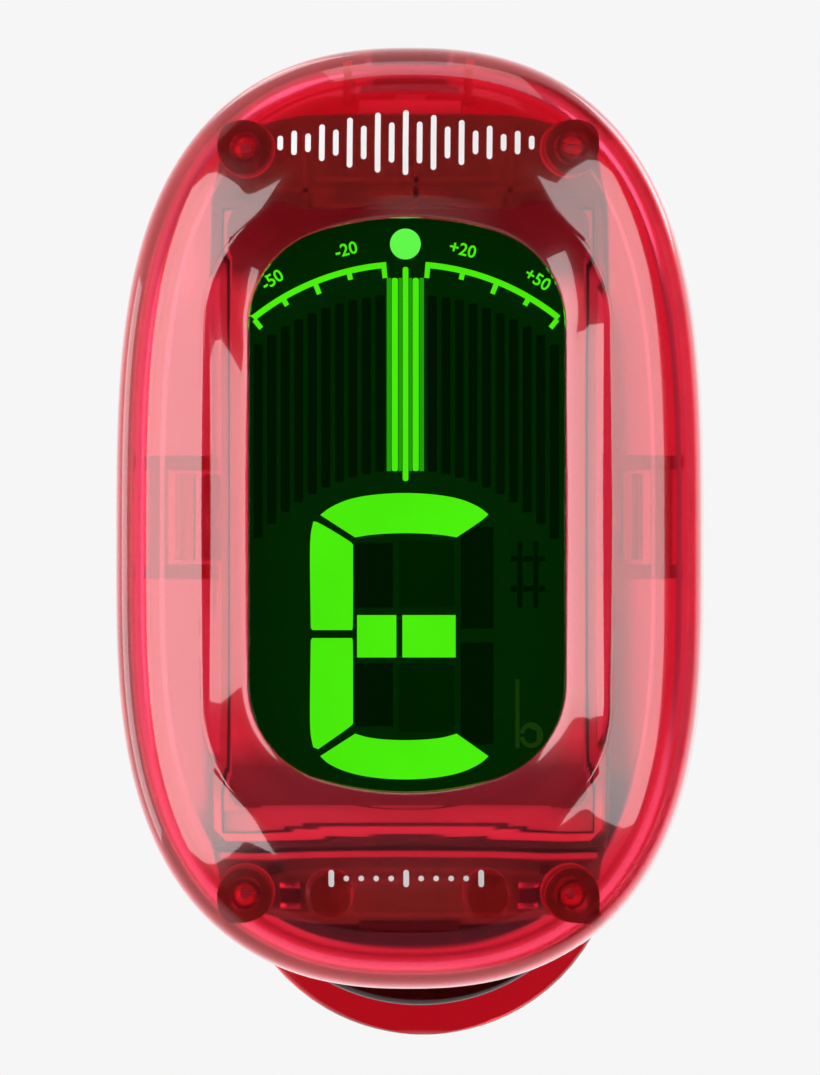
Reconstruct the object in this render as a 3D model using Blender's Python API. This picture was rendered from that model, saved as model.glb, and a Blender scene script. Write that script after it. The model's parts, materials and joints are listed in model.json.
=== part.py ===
"""Clip-on tuner: oval see-through head with a display, tilting and swivelling on a
sprung clip. All dimensions below are in millimetres; the objects are in metres.

World frame: origin in the middle of the front pad's gripping face, +Z up,
the display faces -Y, the rear jaw is at +Y.
Head dimensions are (x, depth behind the head's front plane, height above the head's centre).
"""
import math

import bmesh
import bpy
import numpy as np
from mathutils import Vector

for _o in list(bpy.data.objects):
    bpy.data.objects.remove(_o, do_unlink=True)

MM = 0.001

# ------------------------------------------------------------------ driving dimensions
# head outline: |x/a|^m + |z/b|^n = 1, different above and below the widest line
HEAD_A = 17.70
HEAD_B_TOP = 31.00
HEAD_B_BOTTOM = 25.80
HEAD_M = 2.368
HEAD_N_TOP = 3.43
HEAD_N_BOTTOM = 2.989
HEAD_WIDEST_Z = -2.62          # widest line, below the middle of the height
HEAD_THICK = 13.10
HEAD_WALL = 1.35
SEAM_FRONT = 8.50              # depth where the front shell ends
SEAM_REAR = 8.70               # depth where the rear cover starts

WINDOW_HALF = 9.60
WINDOW_TOP = 18.00
WINDOW_BOTTOM = -16.60
WINDOW_R = 6.00
WINDOW_BOW = 0.55
RIDGE_HALF = 12.10
RIDGE_TOP = 19.60
RIDGE_BOTTOM = -19.50
RIDGE_R = 7.50
LENS_DEPTH = 1.45              # depth of the lens's face

BOSS_X = 9.65
BOSS_Z_TOP = 22.08
BOSS_Z_BOTTOM = -22.50
BOSS_R = 1.70

BOARD_FRONT = 6.50
BOARD_REAR = 7.30
CELL_Z = 7.00
CELL_R = 10.00
CELL_FRONT = 8.45
CELL_REAR = 11.65
DOOR_BOTTOM = -4.60
DOOR_INNER = 11.90
DOOR_HALF_IN = 11.20
DOOR_HALF_OUT = 10.50
DOOR_GAP = 0.30
SNAP_Z_UPPER = 3.36
SNAP_Z_LOWER = -3.24

# chain from the head to the clip, world coordinates
HEAD_Z = 22.00                 # height of the head's centre above the pads' centre
TILT_Y = -11.20
TILT_Z = 3.00
TILT_REACH = 3.50              # tilt axis behind the head's back
HEAD_Y = TILT_Y - TILT_REACH - HEAD_THICK   # the head's front plane
KNUCKLE_R = 2.30
KNUCKLE_HALF = 2.40
EAR_IN = 3.50
EAR_OUT = 5.50
DISC_R = 5.00
DISC_FRONT = -8.50
DISC_REAR = -6.50
BOSS_FRONT = -6.20

# clip
PAD_T = 1.20
PAD_R = 11.40
PAD_TOP = 7.00
END_Z = 4.40                   # centre of the front jaw's and the pads' round end
REAR_END_Z = 2.50              # centre of the rear jaw's round end
FRONT_END_R = 12.00
REAR_END_R = 12.00
JAW_FRONT = -4.40
JAW_BACK = -1.50
PAD_GAP = 0.35                 # between the two pads when the clip is shut
PIVOT_Y = 4.00
PIVOT_Z = 22.00
TAB_TOP = 37.00
REAR_T = 2.60
SPRING_R = 2.70
SPRING_WIRE = 0.45

PIVOT = {
    "clip": Vector((0, 0, 0)),
    "rear_jaw": Vector((0, PIVOT_Y, PIVOT_Z)),
    "arm": Vector((0, 0, TILT_Z)),
    "head": Vector((0, TILT_Y, TILT_Z)),
    "power_button": Vector((0, HEAD_Y + 8.8, HEAD_Z + 27.4)),
    "battery_door": Vector((0, HEAD_Y + 12.5, HEAD_Z + 10.0)),
}
PARENT = {
    "clip": None,
    "rear_jaw": "clip",
    "arm": "clip",
    "head": "arm",
    "power_button": "head",
    "battery_door": "head",
}

COLLECTION = bpy.context.scene.collection
EMPTY = {}
for _body, _p in PIVOT.items():
    _e = bpy.data.objects.new("axis_" + _body, None)
    _e.empty_display_size = 0.004
    COLLECTION.objects.link(_e)
    EMPTY[_body] = _e
for _body, _e in EMPTY.items():
    up = PARENT[_body]
    if up is None:
        _e.location = PIVOT[_body] * MM
    else:
        _e.parent = EMPTY[up]
        _e.location = (PIVOT[_body] - PIVOT[up]) * MM

# ------------------------------------------------------------------ materials
MATERIALS = {
    "red_shell": ((0.62, 0.012, 0.035, 1), 0.12, 0.0, 0.75),
    "red_clip": ((0.60, 0.014, 0.030, 1), 0.22, 0.0, 0.35),
    "clear_lens": ((0.85, 0.88, 0.88, 1), 0.05, 0.0, 0.95),
    "black_foam": ((0.02, 0.02, 0.02, 1), 0.9, 0.0, 0.0),
    "pale_foam": ((0.55, 0.53, 0.50, 1), 0.9, 0.0, 0.0),
    "lcd_glass": ((0.006, 0.03, 0.008, 1), 0.06, 0.0, 0.0),
    "polarizer": ((0.02, 0.05, 0.02, 1), 0.15, 0.0, 0.3),
    "light_guide": ((0.80, 0.90, 0.80, 1), 0.2, 0.0, 0.4),
    "white_plastic": ((0.80, 0.80, 0.78, 1), 0.45, 0.0, 0.0),
    "board_laminate": ((0.08, 0.30, 0.09, 1), 0.5, 0.0, 0.0),
    "chip_black": ((0.025, 0.025, 0.028, 1), 0.45, 0.0, 0.0),
    "zebra": ((0.45, 0.08, 0.10, 1), 0.7, 0.0, 0.0),
    "steel": ((0.62, 0.62, 0.60, 1), 0.28, 1.0, 0.0),
    "cell_steel": ((0.72, 0.72, 0.70, 1), 0.3, 1.0, 0.0),
    "brass": ((0.78, 0.57, 0.25, 1), 0.32, 1.0, 0.0),
    "ceramic": ((0.72, 0.68, 0.60, 1), 0.6, 0.0, 0.0),
    "capacitor_tan": ((0.45, 0.32, 0.18, 1), 0.5, 0.0, 0.0),
    "lead_red": ((0.65, 0.03, 0.03, 1), 0.5, 0.0, 0.0),
    "lead_black": ((0.03, 0.03, 0.03, 1), 0.5, 0.0, 0.0),
    "rubber_pad": ((0.035, 0.022, 0.022, 1), 0.8, 0.0, 0.0),
    "nylon": ((0.75, 0.73, 0.68, 1), 0.5, 0.0, 0.0),
    "led_body": ((0.9, 0.9, 0.75, 1), 0.3, 0.0, 0.0),
}


def material(slot):
    found = bpy.data.materials.get(slot)
    if found:
        return found
    base, rough, metal, trans = MATERIALS[slot]
    m = bpy.data.materials.new(slot)
    m.use_nodes = True
    b = m.node_tree.nodes["Principled BSDF"]
    b.inputs["Base Color"].default_value = base
    b.inputs["Roughness"].default_value = rough
    b.inputs["Metallic"].default_value = metal
    b.inputs["Transmission Weight"].default_value = trans
    m.diffuse_color = base
    return m


# ------------------------------------------------------------------ mesh helpers (millimetres)
def obj_from(bm, name="scratch"):
    bmesh.ops.recalc_face_normals(bm, faces=bm.faces[:])
    me = bpy.data.meshes.new(name)
    bm.to_mesh(me)
    bm.free()
    o = bpy.data.objects.new(name, me)
    COLLECTION.objects.link(o)
    return o


def loft(rings, closed=False):
    """Skin a list of rings of equal length; closed joins the last ring to the first."""
    bm = bmesh.new()
    vv = [[bm.verts.new(p) for p in r] for r in rings]
    n = len(vv[0])
    pairs = list(zip(vv[:-1], vv[1:]))
    if closed:
        pairs.append((vv[-1], vv[0]))
    for a, b in pairs:
        for i in range(n):
            j = (i + 1) % n
            bm.faces.new((a[i], a[j], b[j], b[i]))
    if not closed:
        bm.faces.new(vv[0])
        bm.faces.new(vv[-1])
    return obj_from(bm)


def box(x0, x1, y0, y1, z0, z1):
    return loft([[(x0, y, z0), (x1, y, z0), (x1, y, z1), (x0, y, z1)] for y in (y0, y1)])


def circle(n, r, phase=0.0):
    return [(r * math.cos(phase + 2 * math.pi * i / n), r * math.sin(phase + 2 * math.pi * i / n)) for i in range(n)]


def turned(profile, centre, axis="Y", n=32):
    """Turn (radius, distance along the axis) points about a line parallel to X, Y or Z."""
    cx, cy, cz = centre
    rings = []
    for r, s in profile:
        if axis == "Y":
            rings.append([(cx + u, cy + s, cz + v) for u, v in circle(n, r)])
        elif axis == "X":
            rings.append([(cx + s, cy + u, cz + v) for u, v in circle(n, r)])
        else:
            rings.append([(cx + u, cy + v, cz + s) for u, v in circle(n, r)])
    return loft(rings)


def prism_y(points, y0, y1, edge=0.0):
    """Extrude an (x, z) outline along Y, with a chamfer of the given size at both ends."""
    if edge <= 0:
        return loft([[(x, y, z) for x, z in points] for y in (y0, y1)])
    small = inset(points, edge)
    return loft([
        [(x, y0, z) for x, z in small],
        [(x, y0 + edge, z) for x, z in points],
        [(x, y1 - edge, z) for x, z in points],
        [(x, y1, z) for x, z in small],
    ])


def prism_x(points, x0, x1):
    """Extrude a (y, z) outline along X."""
    return loft([[(x, y, z) for y, z in points] for x in (x0, x1)])


def inset(points, d):
    """Move a closed outline inwards by d along its own normals (outwards if negative)."""
    p = np.array(points, float)
    before = np.roll(p, 1, axis=0)
    after = np.roll(p, -1, axis=0)
    e0 = p - before
    e1 = after - p
    e0 /= np.linalg.norm(e0, axis=1)[:, None]
    e1 /= np.linalg.norm(e1, axis=1)[:, None]
    area = 0.5 * np.sum(p[:, 0] * after[:, 1] - after[:, 0] * p[:, 1])
    s = 1.0 if area > 0 else -1.0
    n0 = np.c_[-e0[:, 1], e0[:, 0]] * s
    n1 = np.c_[-e1[:, 1], e1[:, 0]] * s
    mid = n0 + n1
    mid /= np.linalg.norm(mid, axis=1)[:, None]
    k = d / np.clip(np.sum(mid * n1, axis=1), 0.4, 1.0)
    return [tuple(q) for q in p + mid * k[:, None]]


def boolean(target, tool, how):
    """Apply an exact Boolean of two scratch objects and drop the tool."""
    mod = target.modifiers.new("b", "BOOLEAN")
    mod.operation = how
    mod.solver = "EXACT"
    mod.object = tool
    bpy.context.view_layer.update()
    dg = bpy.context.evaluated_depsgraph_get()
    me = bpy.data.meshes.new_from_object(target.evaluated_get(dg))
    target.modifiers.clear()
    target.data = me
    bpy.data.objects.remove(tool, do_unlink=True)
    return target


def cut(target, *tools):
    for t in tools:
        boolean(target, t, "DIFFERENCE")
    return target


def fuse(target, *tools):
    for t in tools:
        boolean(target, t, "UNION")
    return target


def keep(target, tool):
    return boolean(target, tool, "INTERSECT")


def shift(o, dx=0.0, dy=0.0, dz=0.0):
    for v in o.data.vertices:
        v.co += Vector((dx, dy, dz))
    return o


def hang(o, name, body, slot, smooth=40.0):
    """Name a finished solid, put its origin on its body's axis, and give it its material."""
    bm = bmesh.new()
    bm.from_mesh(o.data)
    bmesh.ops.remove_doubles(bm, verts=bm.verts[:], dist=0.002)
    bmesh.ops.dissolve_degenerate(bm, edges=bm.edges[:], dist=0.002)
    for v in bm.verts:
        v.co = (v.co - PIVOT[body]) * MM
    bmesh.ops.recalc_face_normals(bm, faces=bm.faces[:])
    bm.to_mesh(o.data)
    bm.free()
    o.name = name
    o.data.name = name
    o.parent = EMPTY[body]
    o.data.materials.clear()
    o.data.materials.append(material(slot))
    if smooth:
        o.data.shade_smooth()
        o.data.set_sharp_from_angle(angle=math.radians(smooth))
    return o


def in_head(o):
    return shift(o, 0, HEAD_Y, HEAD_Z)


def wire(points, radius, sides=8):
    """A round wire along a list of points, as one closed skin."""
    pts = [Vector(p) for p in points]
    rings = []
    ref = None
    for i, p in enumerate(pts):
        t = (pts[min(i + 1, len(pts) - 1)] - pts[max(i - 1, 0)]).normalized()
        if ref is None:
            ref = t.orthogonal().normalized()
        ref = (ref - t * ref.dot(t)).normalized()
        side = t.cross(ref)
        rings.append([tuple(p + ref * (radius * math.cos(a)) + side * (radius * math.sin(a)))
                      for a in (2 * math.pi * k / sides for k in range(sides))])
    return loft(rings)


# ------------------------------------------------------------------ outlines of the head
def head_outline(n=1600):
    t = np.linspace(0, 2 * math.pi, n, endpoint=False)
    c, s = np.cos(t), np.sin(t)
    top = s >= 0
    b = np.where(top, HEAD_B_TOP, HEAD_B_BOTTOM)
    e = np.where(top, 2 / HEAD_N_TOP, 2 / HEAD_N_BOTTOM)
    x = HEAD_A * np.sign(c) * np.abs(c) ** (2 / HEAD_M)
    z = HEAD_WIDEST_Z + b * np.sign(s) * np.abs(s) ** e
    return np.c_[x, z]


def rounded_window(half, top, bottom, r, bow):
    """Rounded rectangle with slightly bowed ends, as a dense outline."""
    pts = []
    zc = 0.5 * (top + bottom)
    for sx, sz, a0 in ((1, 1, 0), (-1, 1, 90), (-1, -1, 180), (1, -1, 270)):
        zt = top if sz > 0 else bottom
        for k in range(0, 91, 3):
            a = math.radians(a0 + k)
            pts.append((sx * (half - r) + r * math.cos(a), (zt - sz * (r + bow)) + r * math.sin(a)))
        if sz > 0 and sx > 0 or sz < 0 and sx < 0:
            # bowed run across the top or the bottom
            for k in range(1, 16):
                u = 1 - 2 * k / 16
                u = u if sz > 0 else -u
                pts.append((u * (half - r), zt - sz * bow * u * u))
        else:
            # straight run down or up the side
            z0 = zt - sz * (r + bow)
            z1 = (bottom + r + bow) if sz > 0 else (top - r - bow)
            for k in range(1, 24):
                pts.append((sx * half, z0 + (z1 - z0) * k / 24))
    return np.array(pts)


class Star:
    """An outline read by angle about the head's centre."""

    def __init__(self, pts):
        pts = np.array(pts, float)
        a = np.mod(np.arctan2(pts[:, 1], pts[:, 0]), 2 * math.pi)
        order = np.argsort(a)
        self.a = a[order]
        self.r = np.hypot(pts[:, 0], pts[:, 1])[order]

    def __call__(self, angles):
        return np.interp(angles, self.a, self.r, period=2 * math.pi)


def dense_inset(pts, d):
    p = np.array(pts)
    t = np.roll(p, -1, axis=0) - np.roll(p, 1, axis=0)
    t /= np.linalg.norm(t, axis=1)[:, None]
    return p + np.c_[-t[:, 1], t[:, 0]] * d


def even(pts, n):
    """n points at equal steps along a closed outline."""
    p = np.vstack([pts, pts[:1]])
    s = np.r_[0, np.cumsum(np.linalg.norm(np.diff(p, axis=0), axis=1))]
    u = np.linspace(0, s[-1], n, endpoint=False)
    return np.c_[np.interp(u, s, p[:, 0]), np.interp(u, s, p[:, 1])]


OUTLINE = even(head_outline(), 1200)
N_RING = 60
ANGLES = np.mod(np.arctan2(even(OUTLINE, N_RING)[:, 1], even(OUTLINE, N_RING)[:, 0]), 2 * math.pi)
WINDOW = rounded_window(WINDOW_HALF, WINDOW_TOP, WINDOW_BOTTOM, WINDOW_R, WINDOW_BOW)
RIDGE = rounded_window(RIDGE_HALF, RIDGE_TOP, RIDGE_BOTTOM, RIDGE_R, WINDOW_BOW)

PROFILE_D = [0.0, 0.10, 0.35, 0.80, 1.30, 1.80, 2.60, 3.60, 4.60, 5.60, 6.80, 8.50, 12.0]
PROFILE_Y = [5.2, 4.20, 3.35, 2.72, 2.33, 2.05, 1.74, 1.37, 1.00, 0.66, 0.42, 0.30, 0.28]


def front_depth(d):
    return np.interp(d, PROFILE_D, PROFILE_Y)


def head_ring(radius, depth):
    depth = np.broadcast_to(np.asarray(depth, float), radius.shape)
    return [(r * math.cos(a), y, r * math.sin(a)) for r, a, y in zip(radius, ANGLES, depth)]


def inset_radius(d):
    return Star(dense_inset(OUTLINE, d))(ANGLES)


def window_radius(grow=0.0):
    return Star(dense_inset(WINDOW, -grow))(ANGLES)


def distance_to_outline(radius):
    p = np.c_[radius * np.cos(ANGLES), radius * np.sin(ANGLES)]
    return np.min(np.linalg.norm(p[:, None, :] - OUTLINE[None, :, :], axis=2), axis=1)


# ================================================================== HEAD
# ---- front shell: outer skin, bevelled recess down to the window, inner skin
ridge_r = Star(RIDGE)(ANGLES)
ridge_d = distance_to_outline(ridge_r)
start_r = inset_radius(1.8)
rings = [head_ring(inset_radius(0.0), SEAM_FRONT)]
for d in (0.0, 0.10, 0.35, 0.80, 1.80):
    rings.append(head_ring(inset_radius(d), front_depth(d)))
for f in (0.34, 0.67, 1.0):
    rings.append(head_ring(start_r + (ridge_r - start_r) * f, front_depth(1.8 + (ridge_d - 1.8) * f)))
rings.append(head_ring(window_radius(0.0), LENS_DEPTH - 0.05))
rings.append(head_ring(window_radius(0.0), 2.60))
rings.append(head_ring(window_radius(1.6), 2.60))
rings.append(head_ring(inset_radius(2.9), 3.15))
rings.append(head_ring(inset_radius(1.9), 4.0))
rings.append(head_ring(inset_radius(HEAD_WALL), 5.0))
rings.append(head_ring(inset_radius(HEAD_WALL), SEAM_FRONT))
shell = loft(rings, closed=True)

for sx in (-1, 1):
    for bz in (BOSS_Z_TOP, BOSS_Z_BOTTOM):
        fuse(shell, turned([(BOSS_R, 2.75), (BOSS_R, BOARD_FRONT - 0.2)], (sx * BOSS_X, 0, bz), n=20))
    # snap pocket: two ribs and a ledge at the side
    a, b = sorted((sx * 12.25, sx * 16.75))
    for sz in (SNAP_Z_UPPER, SNAP_Z_LOWER):
        fuse(shell, box(a, b, 4.3, 8.2, sz - 0.3, sz + 0.3))
    a, b = sorted((sx * 13.80, sx * 16.75))
    fuse(shell, box(a, b, 5.9, 6.8, SNAP_Z_LOWER, SNAP_Z_UPPER))
    # guide rib beside the power button
    a, b = sorted((sx * 3.35, sx * 3.85))
    fuse(shell, box(a, b, 3.2, 8.2, 24.6, 27.5))
    # locating peg
    fuse(shell, turned([(1.45, 2.4), (1.45, BOARD_FRONT - 0.2)], (sx * 4.65, 0, BOSS_Z_BOTTOM), n=20))
for sx in (-1, 1):
    for bz in (BOSS_Z_TOP, BOSS_Z_BOTTOM):
        cut(shell, turned([(1.0, 3.6), (1.0, 9.0)], (sx * BOSS_X, 0, bz), n=16))
cut(shell, box(-2.6, 2.6, 6.9, 12.0, 24.0, 31.0))
hang(in_head(shell), "front_shell", "head", "red_shell")


# ---- rear cover
def back_solid(extra=0.0):
    steps = ((0.0, SEAM_REAR), (0.0, 10.4), (0.22, 11.35), (0.75, 12.15), (1.6, 12.72), (2.7, 13.02), (3.8, HEAD_THICK))
    return loft([head_ring(inset_radius(d), y) for d, y in steps])


def door_prism(half_in, half_out, y_in, y_out, z0, z1):
    return loft([[(-w, y, z0), (w, y, z0), (w, y, z1), (-w, y, z1)] for w, y in ((half_in, y_in), (half_out, y_out))])


slope = (DOOR_HALF_IN - DOOR_HALF_OUT) / (HEAD_THICK - DOOR_INNER)
cover = back_solid()
cavity = loft([head_ring(inset_radius(d), y) for d, y in (
    (HEAD_WALL, SEAM_REAR - 1.0), (HEAD_WALL, 10.2), (1.65, 11.0), (2.4, 11.6), (3.3, 11.80))])
cut(cavity, box(-13.0, 13.0, 10.60, 14.0, DOOR_BOTTOM - 1.1, 40.0))
cut(cover, cavity)
cut(cover, door_prism(DOOR_HALF_IN + DOOR_GAP + 0.2 * slope, DOOR_HALF_OUT + DOOR_GAP - 0.9 * slope,
                      DOOR_INNER - 0.2, HEAD_THICK + 0.9, DOOR_BOTTOM - DOOR_GAP, 40.0))
cut(cover, turned([(CELL_R + 0.35, 9.5), (CELL_R + 0.35, 12.5)], (0, 0, CELL_Z), n=48))
for sx in (-1, 1):
    # side snap hook with its barb
    a, b = sorted((sx * 12.5, sx * 13.4))
    hook = box(a, b, 4.7, 12.2, -2.6, 2.7)
    p = [(sx * 13.2, 4.7), (sx * 13.4, 4.7), (sx * 14.2, 5.55), (sx * 13.2, 5.55)]
    fuse(hook, loft([[(x, y, z) for x, y in p] for z in (-2.2, 2.3)]))
    fuse(cover, hook)
    # clevis ear for the tilt pin
    tz, ty = TILT_Z - HEAD_Z, TILT_Y - HEAD_Y
    arc = [(ty + KNUCKLE_R * math.sin(a), tz + KNUCKLE_R * math.cos(a)) for a in np.linspace(0, math.pi, 15)]
    a, b = sorted((sx * EAR_IN, sx * EAR_OUT))
    fuse(cover, prism_x([(12.4, tz - 3.6)] + [(12.4, tz + 3.6)] + arc, a, b))
fuse(cover, box(-2.7, 2.7, 5.2, 12.2, -25.6, -24.75))
tz, ty = TILT_Z - HEAD_Z, TILT_Y - HEAD_Y
cut(cover, turned([(1.3, -8), (1.3, 8)], (0, ty, tz), axis="X", n=24))
cut(cover, box(-2.6, 2.6, 5.0, 10.75, 24.0, 31.0))
hang(in_head(cover), "rear_cover", "head", "red_shell")

# ---- battery door, a dovetailed slice of the cover's back
door = back_solid()
keep(door, door_prism(DOOR_HALF_IN, DOOR_HALF_OUT - 0.9 * slope, DOOR_INNER, HEAD_THICK + 0.9, DOOR_BOTTOM, 40.0))
for k in range(3):
    fuse(door, loft([[(x, y, z + 0.0) for x, y in ((-4.5, HEAD_THICK - 0.3), (4.5, HEAD_THICK - 0.3), (4.2, HEAD_THICK + 0.35), (-4.2, HEAD_THICK + 0.35))]
                     for z in (1.2 - 1.6 * k, 2.0 - 1.6 * k)]))
hang(in_head(door), "battery_door", "battery_door", "red_shell")

# ---- lens and its foam frame
lens = loft([head_ring(window_radius(-0.45), LENS_DEPTH), head_ring(window_radius(-0.25), LENS_DEPTH + 0.2),
             head_ring(window_radius(-0.25), 2.75), head_ring(window_radius(1.2), 2.75), head_ring(window_radius(1.2), 3.30)])
hang(in_head(lens), "display_lens", "head", "clear_lens")
seal_r = Star(np.array(rounded_window(10.70, 18.85, -17.55, 1.4, 0.0)))(ANGLES)
gasket = loft([head_ring(seal_r, 3.40), head_ring(seal_r, 3.70),
               head_ring(window_radius(0.15), 3.70), head_ring(window_radius(0.15), 3.40)], closed=True)
hang(in_head(gasket), "lens_gasket", "head", "pale_foam")

# ---- display stack
hang(in_head(box(-10.2, 10.2, 3.80, 3.95, -17.2, 18.3)), "lcd_polarizer", "head", "polarizer", 0)
hang(in_head(box(-10.9, 10.9, 4.05, 5.15, -18.8, 18.4)), "lcd_glass", "head", "lcd_glass", 0)
hang(in_head(box(-10.1, 10.1, 5.25, 6.05, -17.1, 18.2)), "backlight_guide", "head", "light_guide", 0)
hang(in_head(box(-10.1, 10.1, 6.13, 6.25, -17.1, 18.2)), "backlight_reflector", "head", "white_plastic", 0)
frame_pts = [(-11.5, -18.7), (-10.8, -19.4), (10.8, -19.4), (11.5, -18.7), (11.5, 18.3), (10.8, 19.0), (-10.8, 19.0), (-11.5, 18.3)]
frame = prism_y(frame_pts, 3.95, 6.38)
cut(frame, box(-11.05, 11.05, 3.0, 8.0, -18.95, 18.55))
hang(in_head(frame), "backlight_frame", "head", "white_plastic", 0)
hang(in_head(box(-9.4, 9.4, 5.27, 6.38, -18.7, -17.5)), "zebra_strip", "head", "zebra", 0)
for name, sx in (("backlight_led_left", -1), ("backlight_led_right", 1)):
    a, b = sorted((sx * 10.3, sx * 10.9))
    hang(in_head(box(a, b, 5.35, 6.35, -1.3, 1.3)), name, "head", "led_body", 0)

# ---- circuit board
board = prism_y([(-9.6, -24.1), (9.6, -24.1), (11.7, -22.0), (11.7, 21.8), (9.6, 24.0), (-9.6, 24.0), (-11.7, 21.8), (-11.7, -22.0)],
                BOARD_FRONT, BOARD_REAR)
for sx in (-1, 1):
    for bz in (BOSS_Z_TOP, BOSS_Z_BOTTOM):
        cut(board, turned([(0.95, 5), (0.95, 9)], (sx * BOSS_X, 0, bz), n=16))
hang(in_head(board), "circuit_board", "head", "board_laminate", 0)

for k, (sx, bz) in enumerate(((-1, BOSS_Z_TOP), (1, BOSS_Z_TOP), (-1, BOSS_Z_BOTTOM), (1, BOSS_Z_BOTTOM)), 1):
    screw = turned([(0.45, 3.9), (0.65, 4.3), (0.65, 7.40), (1.60, 7.40), (1.60, 7.95), (1.15, 8.25)], (sx * BOSS_X, 0, bz), n=20)
    cut(screw, box(sx * BOSS_X - 1.0, sx * BOSS_X + 1.0, 7.85, 9.0, bz - 0.17, bz + 0.17))
    hang(in_head(screw), f"board_screw_{k}", "head", "steel")

# ---- parts on the board
r0 = BOARD_REAR + 0.1
chip = loft([[(x, y, z) for x, z in ((-w, -11 - w), (w, -11 - w), (w, -11 + w), (-w, -11 + w))]
             for w, y in ((4.0, r0), (4.2, r0 + 0.7), (4.0, r0 + 1.4))])
hang(in_head(chip), "tuner_chip", "head", "chip_black", 0)
can = turned([(0.9, -3.0), (1.0, -2.9), (1.0, 2.9), (0.9, 3.0)], (8.0, r0 + 1.05, -11.0), axis="Z", n=20)
hang(in_head(can), "crystal_can", "head", "steel")
hang(in_head(box(-9.4, -7.0, r0, r0 + 1.2, -10.2, -8.8)), "capacitor_1", "head", "capacitor_tan", 0)
hang(in_head(box(-9.4, -7.0, r0, r0 + 1.2, -14.0, -12.6)), "capacitor_2", "head", "capacitor_tan", 0)
hang(in_head(box(6.6, 9.4, r0, r0 + 1.0, -18.2, -16.6)), "voltage_regulator", "head", "chip_black", 0)
hang(in_head(box(-7.62, -6.42, 5.75, 6.40, -23.3, -21.7)), "chip_resistor_1", "head", "chip_black", 0)
hang(in_head(box(6.42, 7.62, 5.75, 6.40, -23.3, -21.7)), "chip_resistor_2", "head", "chip_black", 0)

# ---- coin cell and its contacts
cell = turned([(7.9, CELL_FRONT), (8.6, CELL_FRONT + 0.1), (9.1, CELL_FRONT + 0.7), (9.75, CELL_FRONT + 0.85), (CELL_R, CELL_FRONT + 1.15),
               (CELL_R, CELL_REAR - 0.25), (CELL_R - 0.25, CELL_REAR)], (0, 0, CELL_Z), n=48)
hang(in_head(cell), "coin_cell", "head", "cell_steel")
leaf = [(r0, -1.2), (r0, 2.0), (r0 + 0.2, 3.2), (r0 + 0.7, 6.4), (r0 + 0.7, 7.6), (r0 + 0.2, 10.8), (r0, 12.0), (r0, 14.0)]
hang(in_head(loft([[(-2, y, z), (2, y, z), (2, y + 0.2, z), (-2, y + 0.2, z)] for y, z in leaf])),
     "battery_contact_negative", "head", "steel", 30)
blade = [(11.3, r0), (10.75, r0), (10.5, r0 + 0.25), (10.32, r0 + 1.4), (10.32, r0 + 2.7), (10.57, r0 + 2.7), (10.57, r0 + 1.4), (10.75, r0 + 0.25), (11.3, r0 + 0.25)]
hang(in_head(loft([[(x, y, z) for x, y in blade] for z in (4.6, 9.4)])), "battery_contact_positive", "head", "steel", 0)

# ---- switch and power button on the top edge
switch = box(-3.0, 3.0, r0, 10.30, 21.5, 24.9)
fuse(switch, box(-0.9, 0.9, 8.0, 9.6, 24.5, 25.35))
hang(in_head(switch), "tact_switch", "head", "white_plastic", 0)
cap_pts = []
for x, z in [(2.3, 26.0)] + [(u, 28.46 - 0.022 * u * u) for u in np.linspace(2.3, -2.3, 9)] + [(-2.3, 26.0)]:
    cap_pts.append((x, z))
button = prism_y(cap_pts, 7.2, 10.45)
fuse(button, box(-3.05, 3.05, 7.2, 10.45, 25.85, 26.45))
hang(in_head(button), "power_button", "power_button", "red_shell", 30)

# ---- piezo pickup with its foam and leads
pz = -15.5
hang(in_head(turned([(6.0, 11.45), (6.0, 11.65)], (0, 0, pz), n=40)), "piezo_disc", "head", "brass")
hang(in_head(turned([(4.2, 11.15), (4.2, 11.37)], (0, 0, pz), n=32)), "piezo_ceramic", "head", "ceramic")
hang(in_head(turned([(3.0, 9.6), (3.0, 11.07)], (0, 0, pz), n=24)), "piezo_foam", "head", "black_foam")


def lead(p0, p1, p2, p3, n=14):
    p0, p1, p2, p3 = (Vector(p) for p in (p0, p1, p2, p3))
    return [(1 - t) ** 3 * p0 + 3 * (1 - t) ** 2 * t * p1 + 3 * (1 - t) * t * t * p2 + t ** 3 * p3 for t in (k / (n - 1) for k in range(n))]


hang(in_head(wire(lead((-3.6, 10.85, pz + 1.0), (-4.6, 10.2, pz + 2.4), (-7.6, 10.6, -16.4), (-8.2, r0 + 0.02, -17.2)), 0.28)),
     "piezo_lead_red", "head", "lead_red")
hang(in_head(wire(lead((-5.1, 11.13, pz - 0.8), (-6.0, 9.6, pz - 2.4), (-7.0, 9.8, -19.2), (-7.4, r0 + 0.02, -19.6)), 0.28)),
     "piezo_lead_black", "head", "lead_black")

# ---- tilt pin and friction washers
pin = turned([(1.0, -6.0), (1.0, 5.8), (1.7, 5.8), (1.7, 6.3), (1.4, 6.5)], (0, TILT_Y, TILT_Z), axis="X", n=24)
hang(pin, "tilt_pin", "head", "steel")
for name, sx in (("friction_washer_left", -1), ("friction_washer_right", 1)):
    a, b = sorted((sx * 2.70, sx * 3.20))
    w = turned([(2.15, a), (2.15, b)], (0, TILT_Y, TILT_Z), axis="X", n=28)
    cut(w, turned([(1.3, a - 1), (1.3, b + 1)], (0, TILT_Y, TILT_Z), axis="X", n=24))
    hang(w, name, "head", "nylon")

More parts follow.
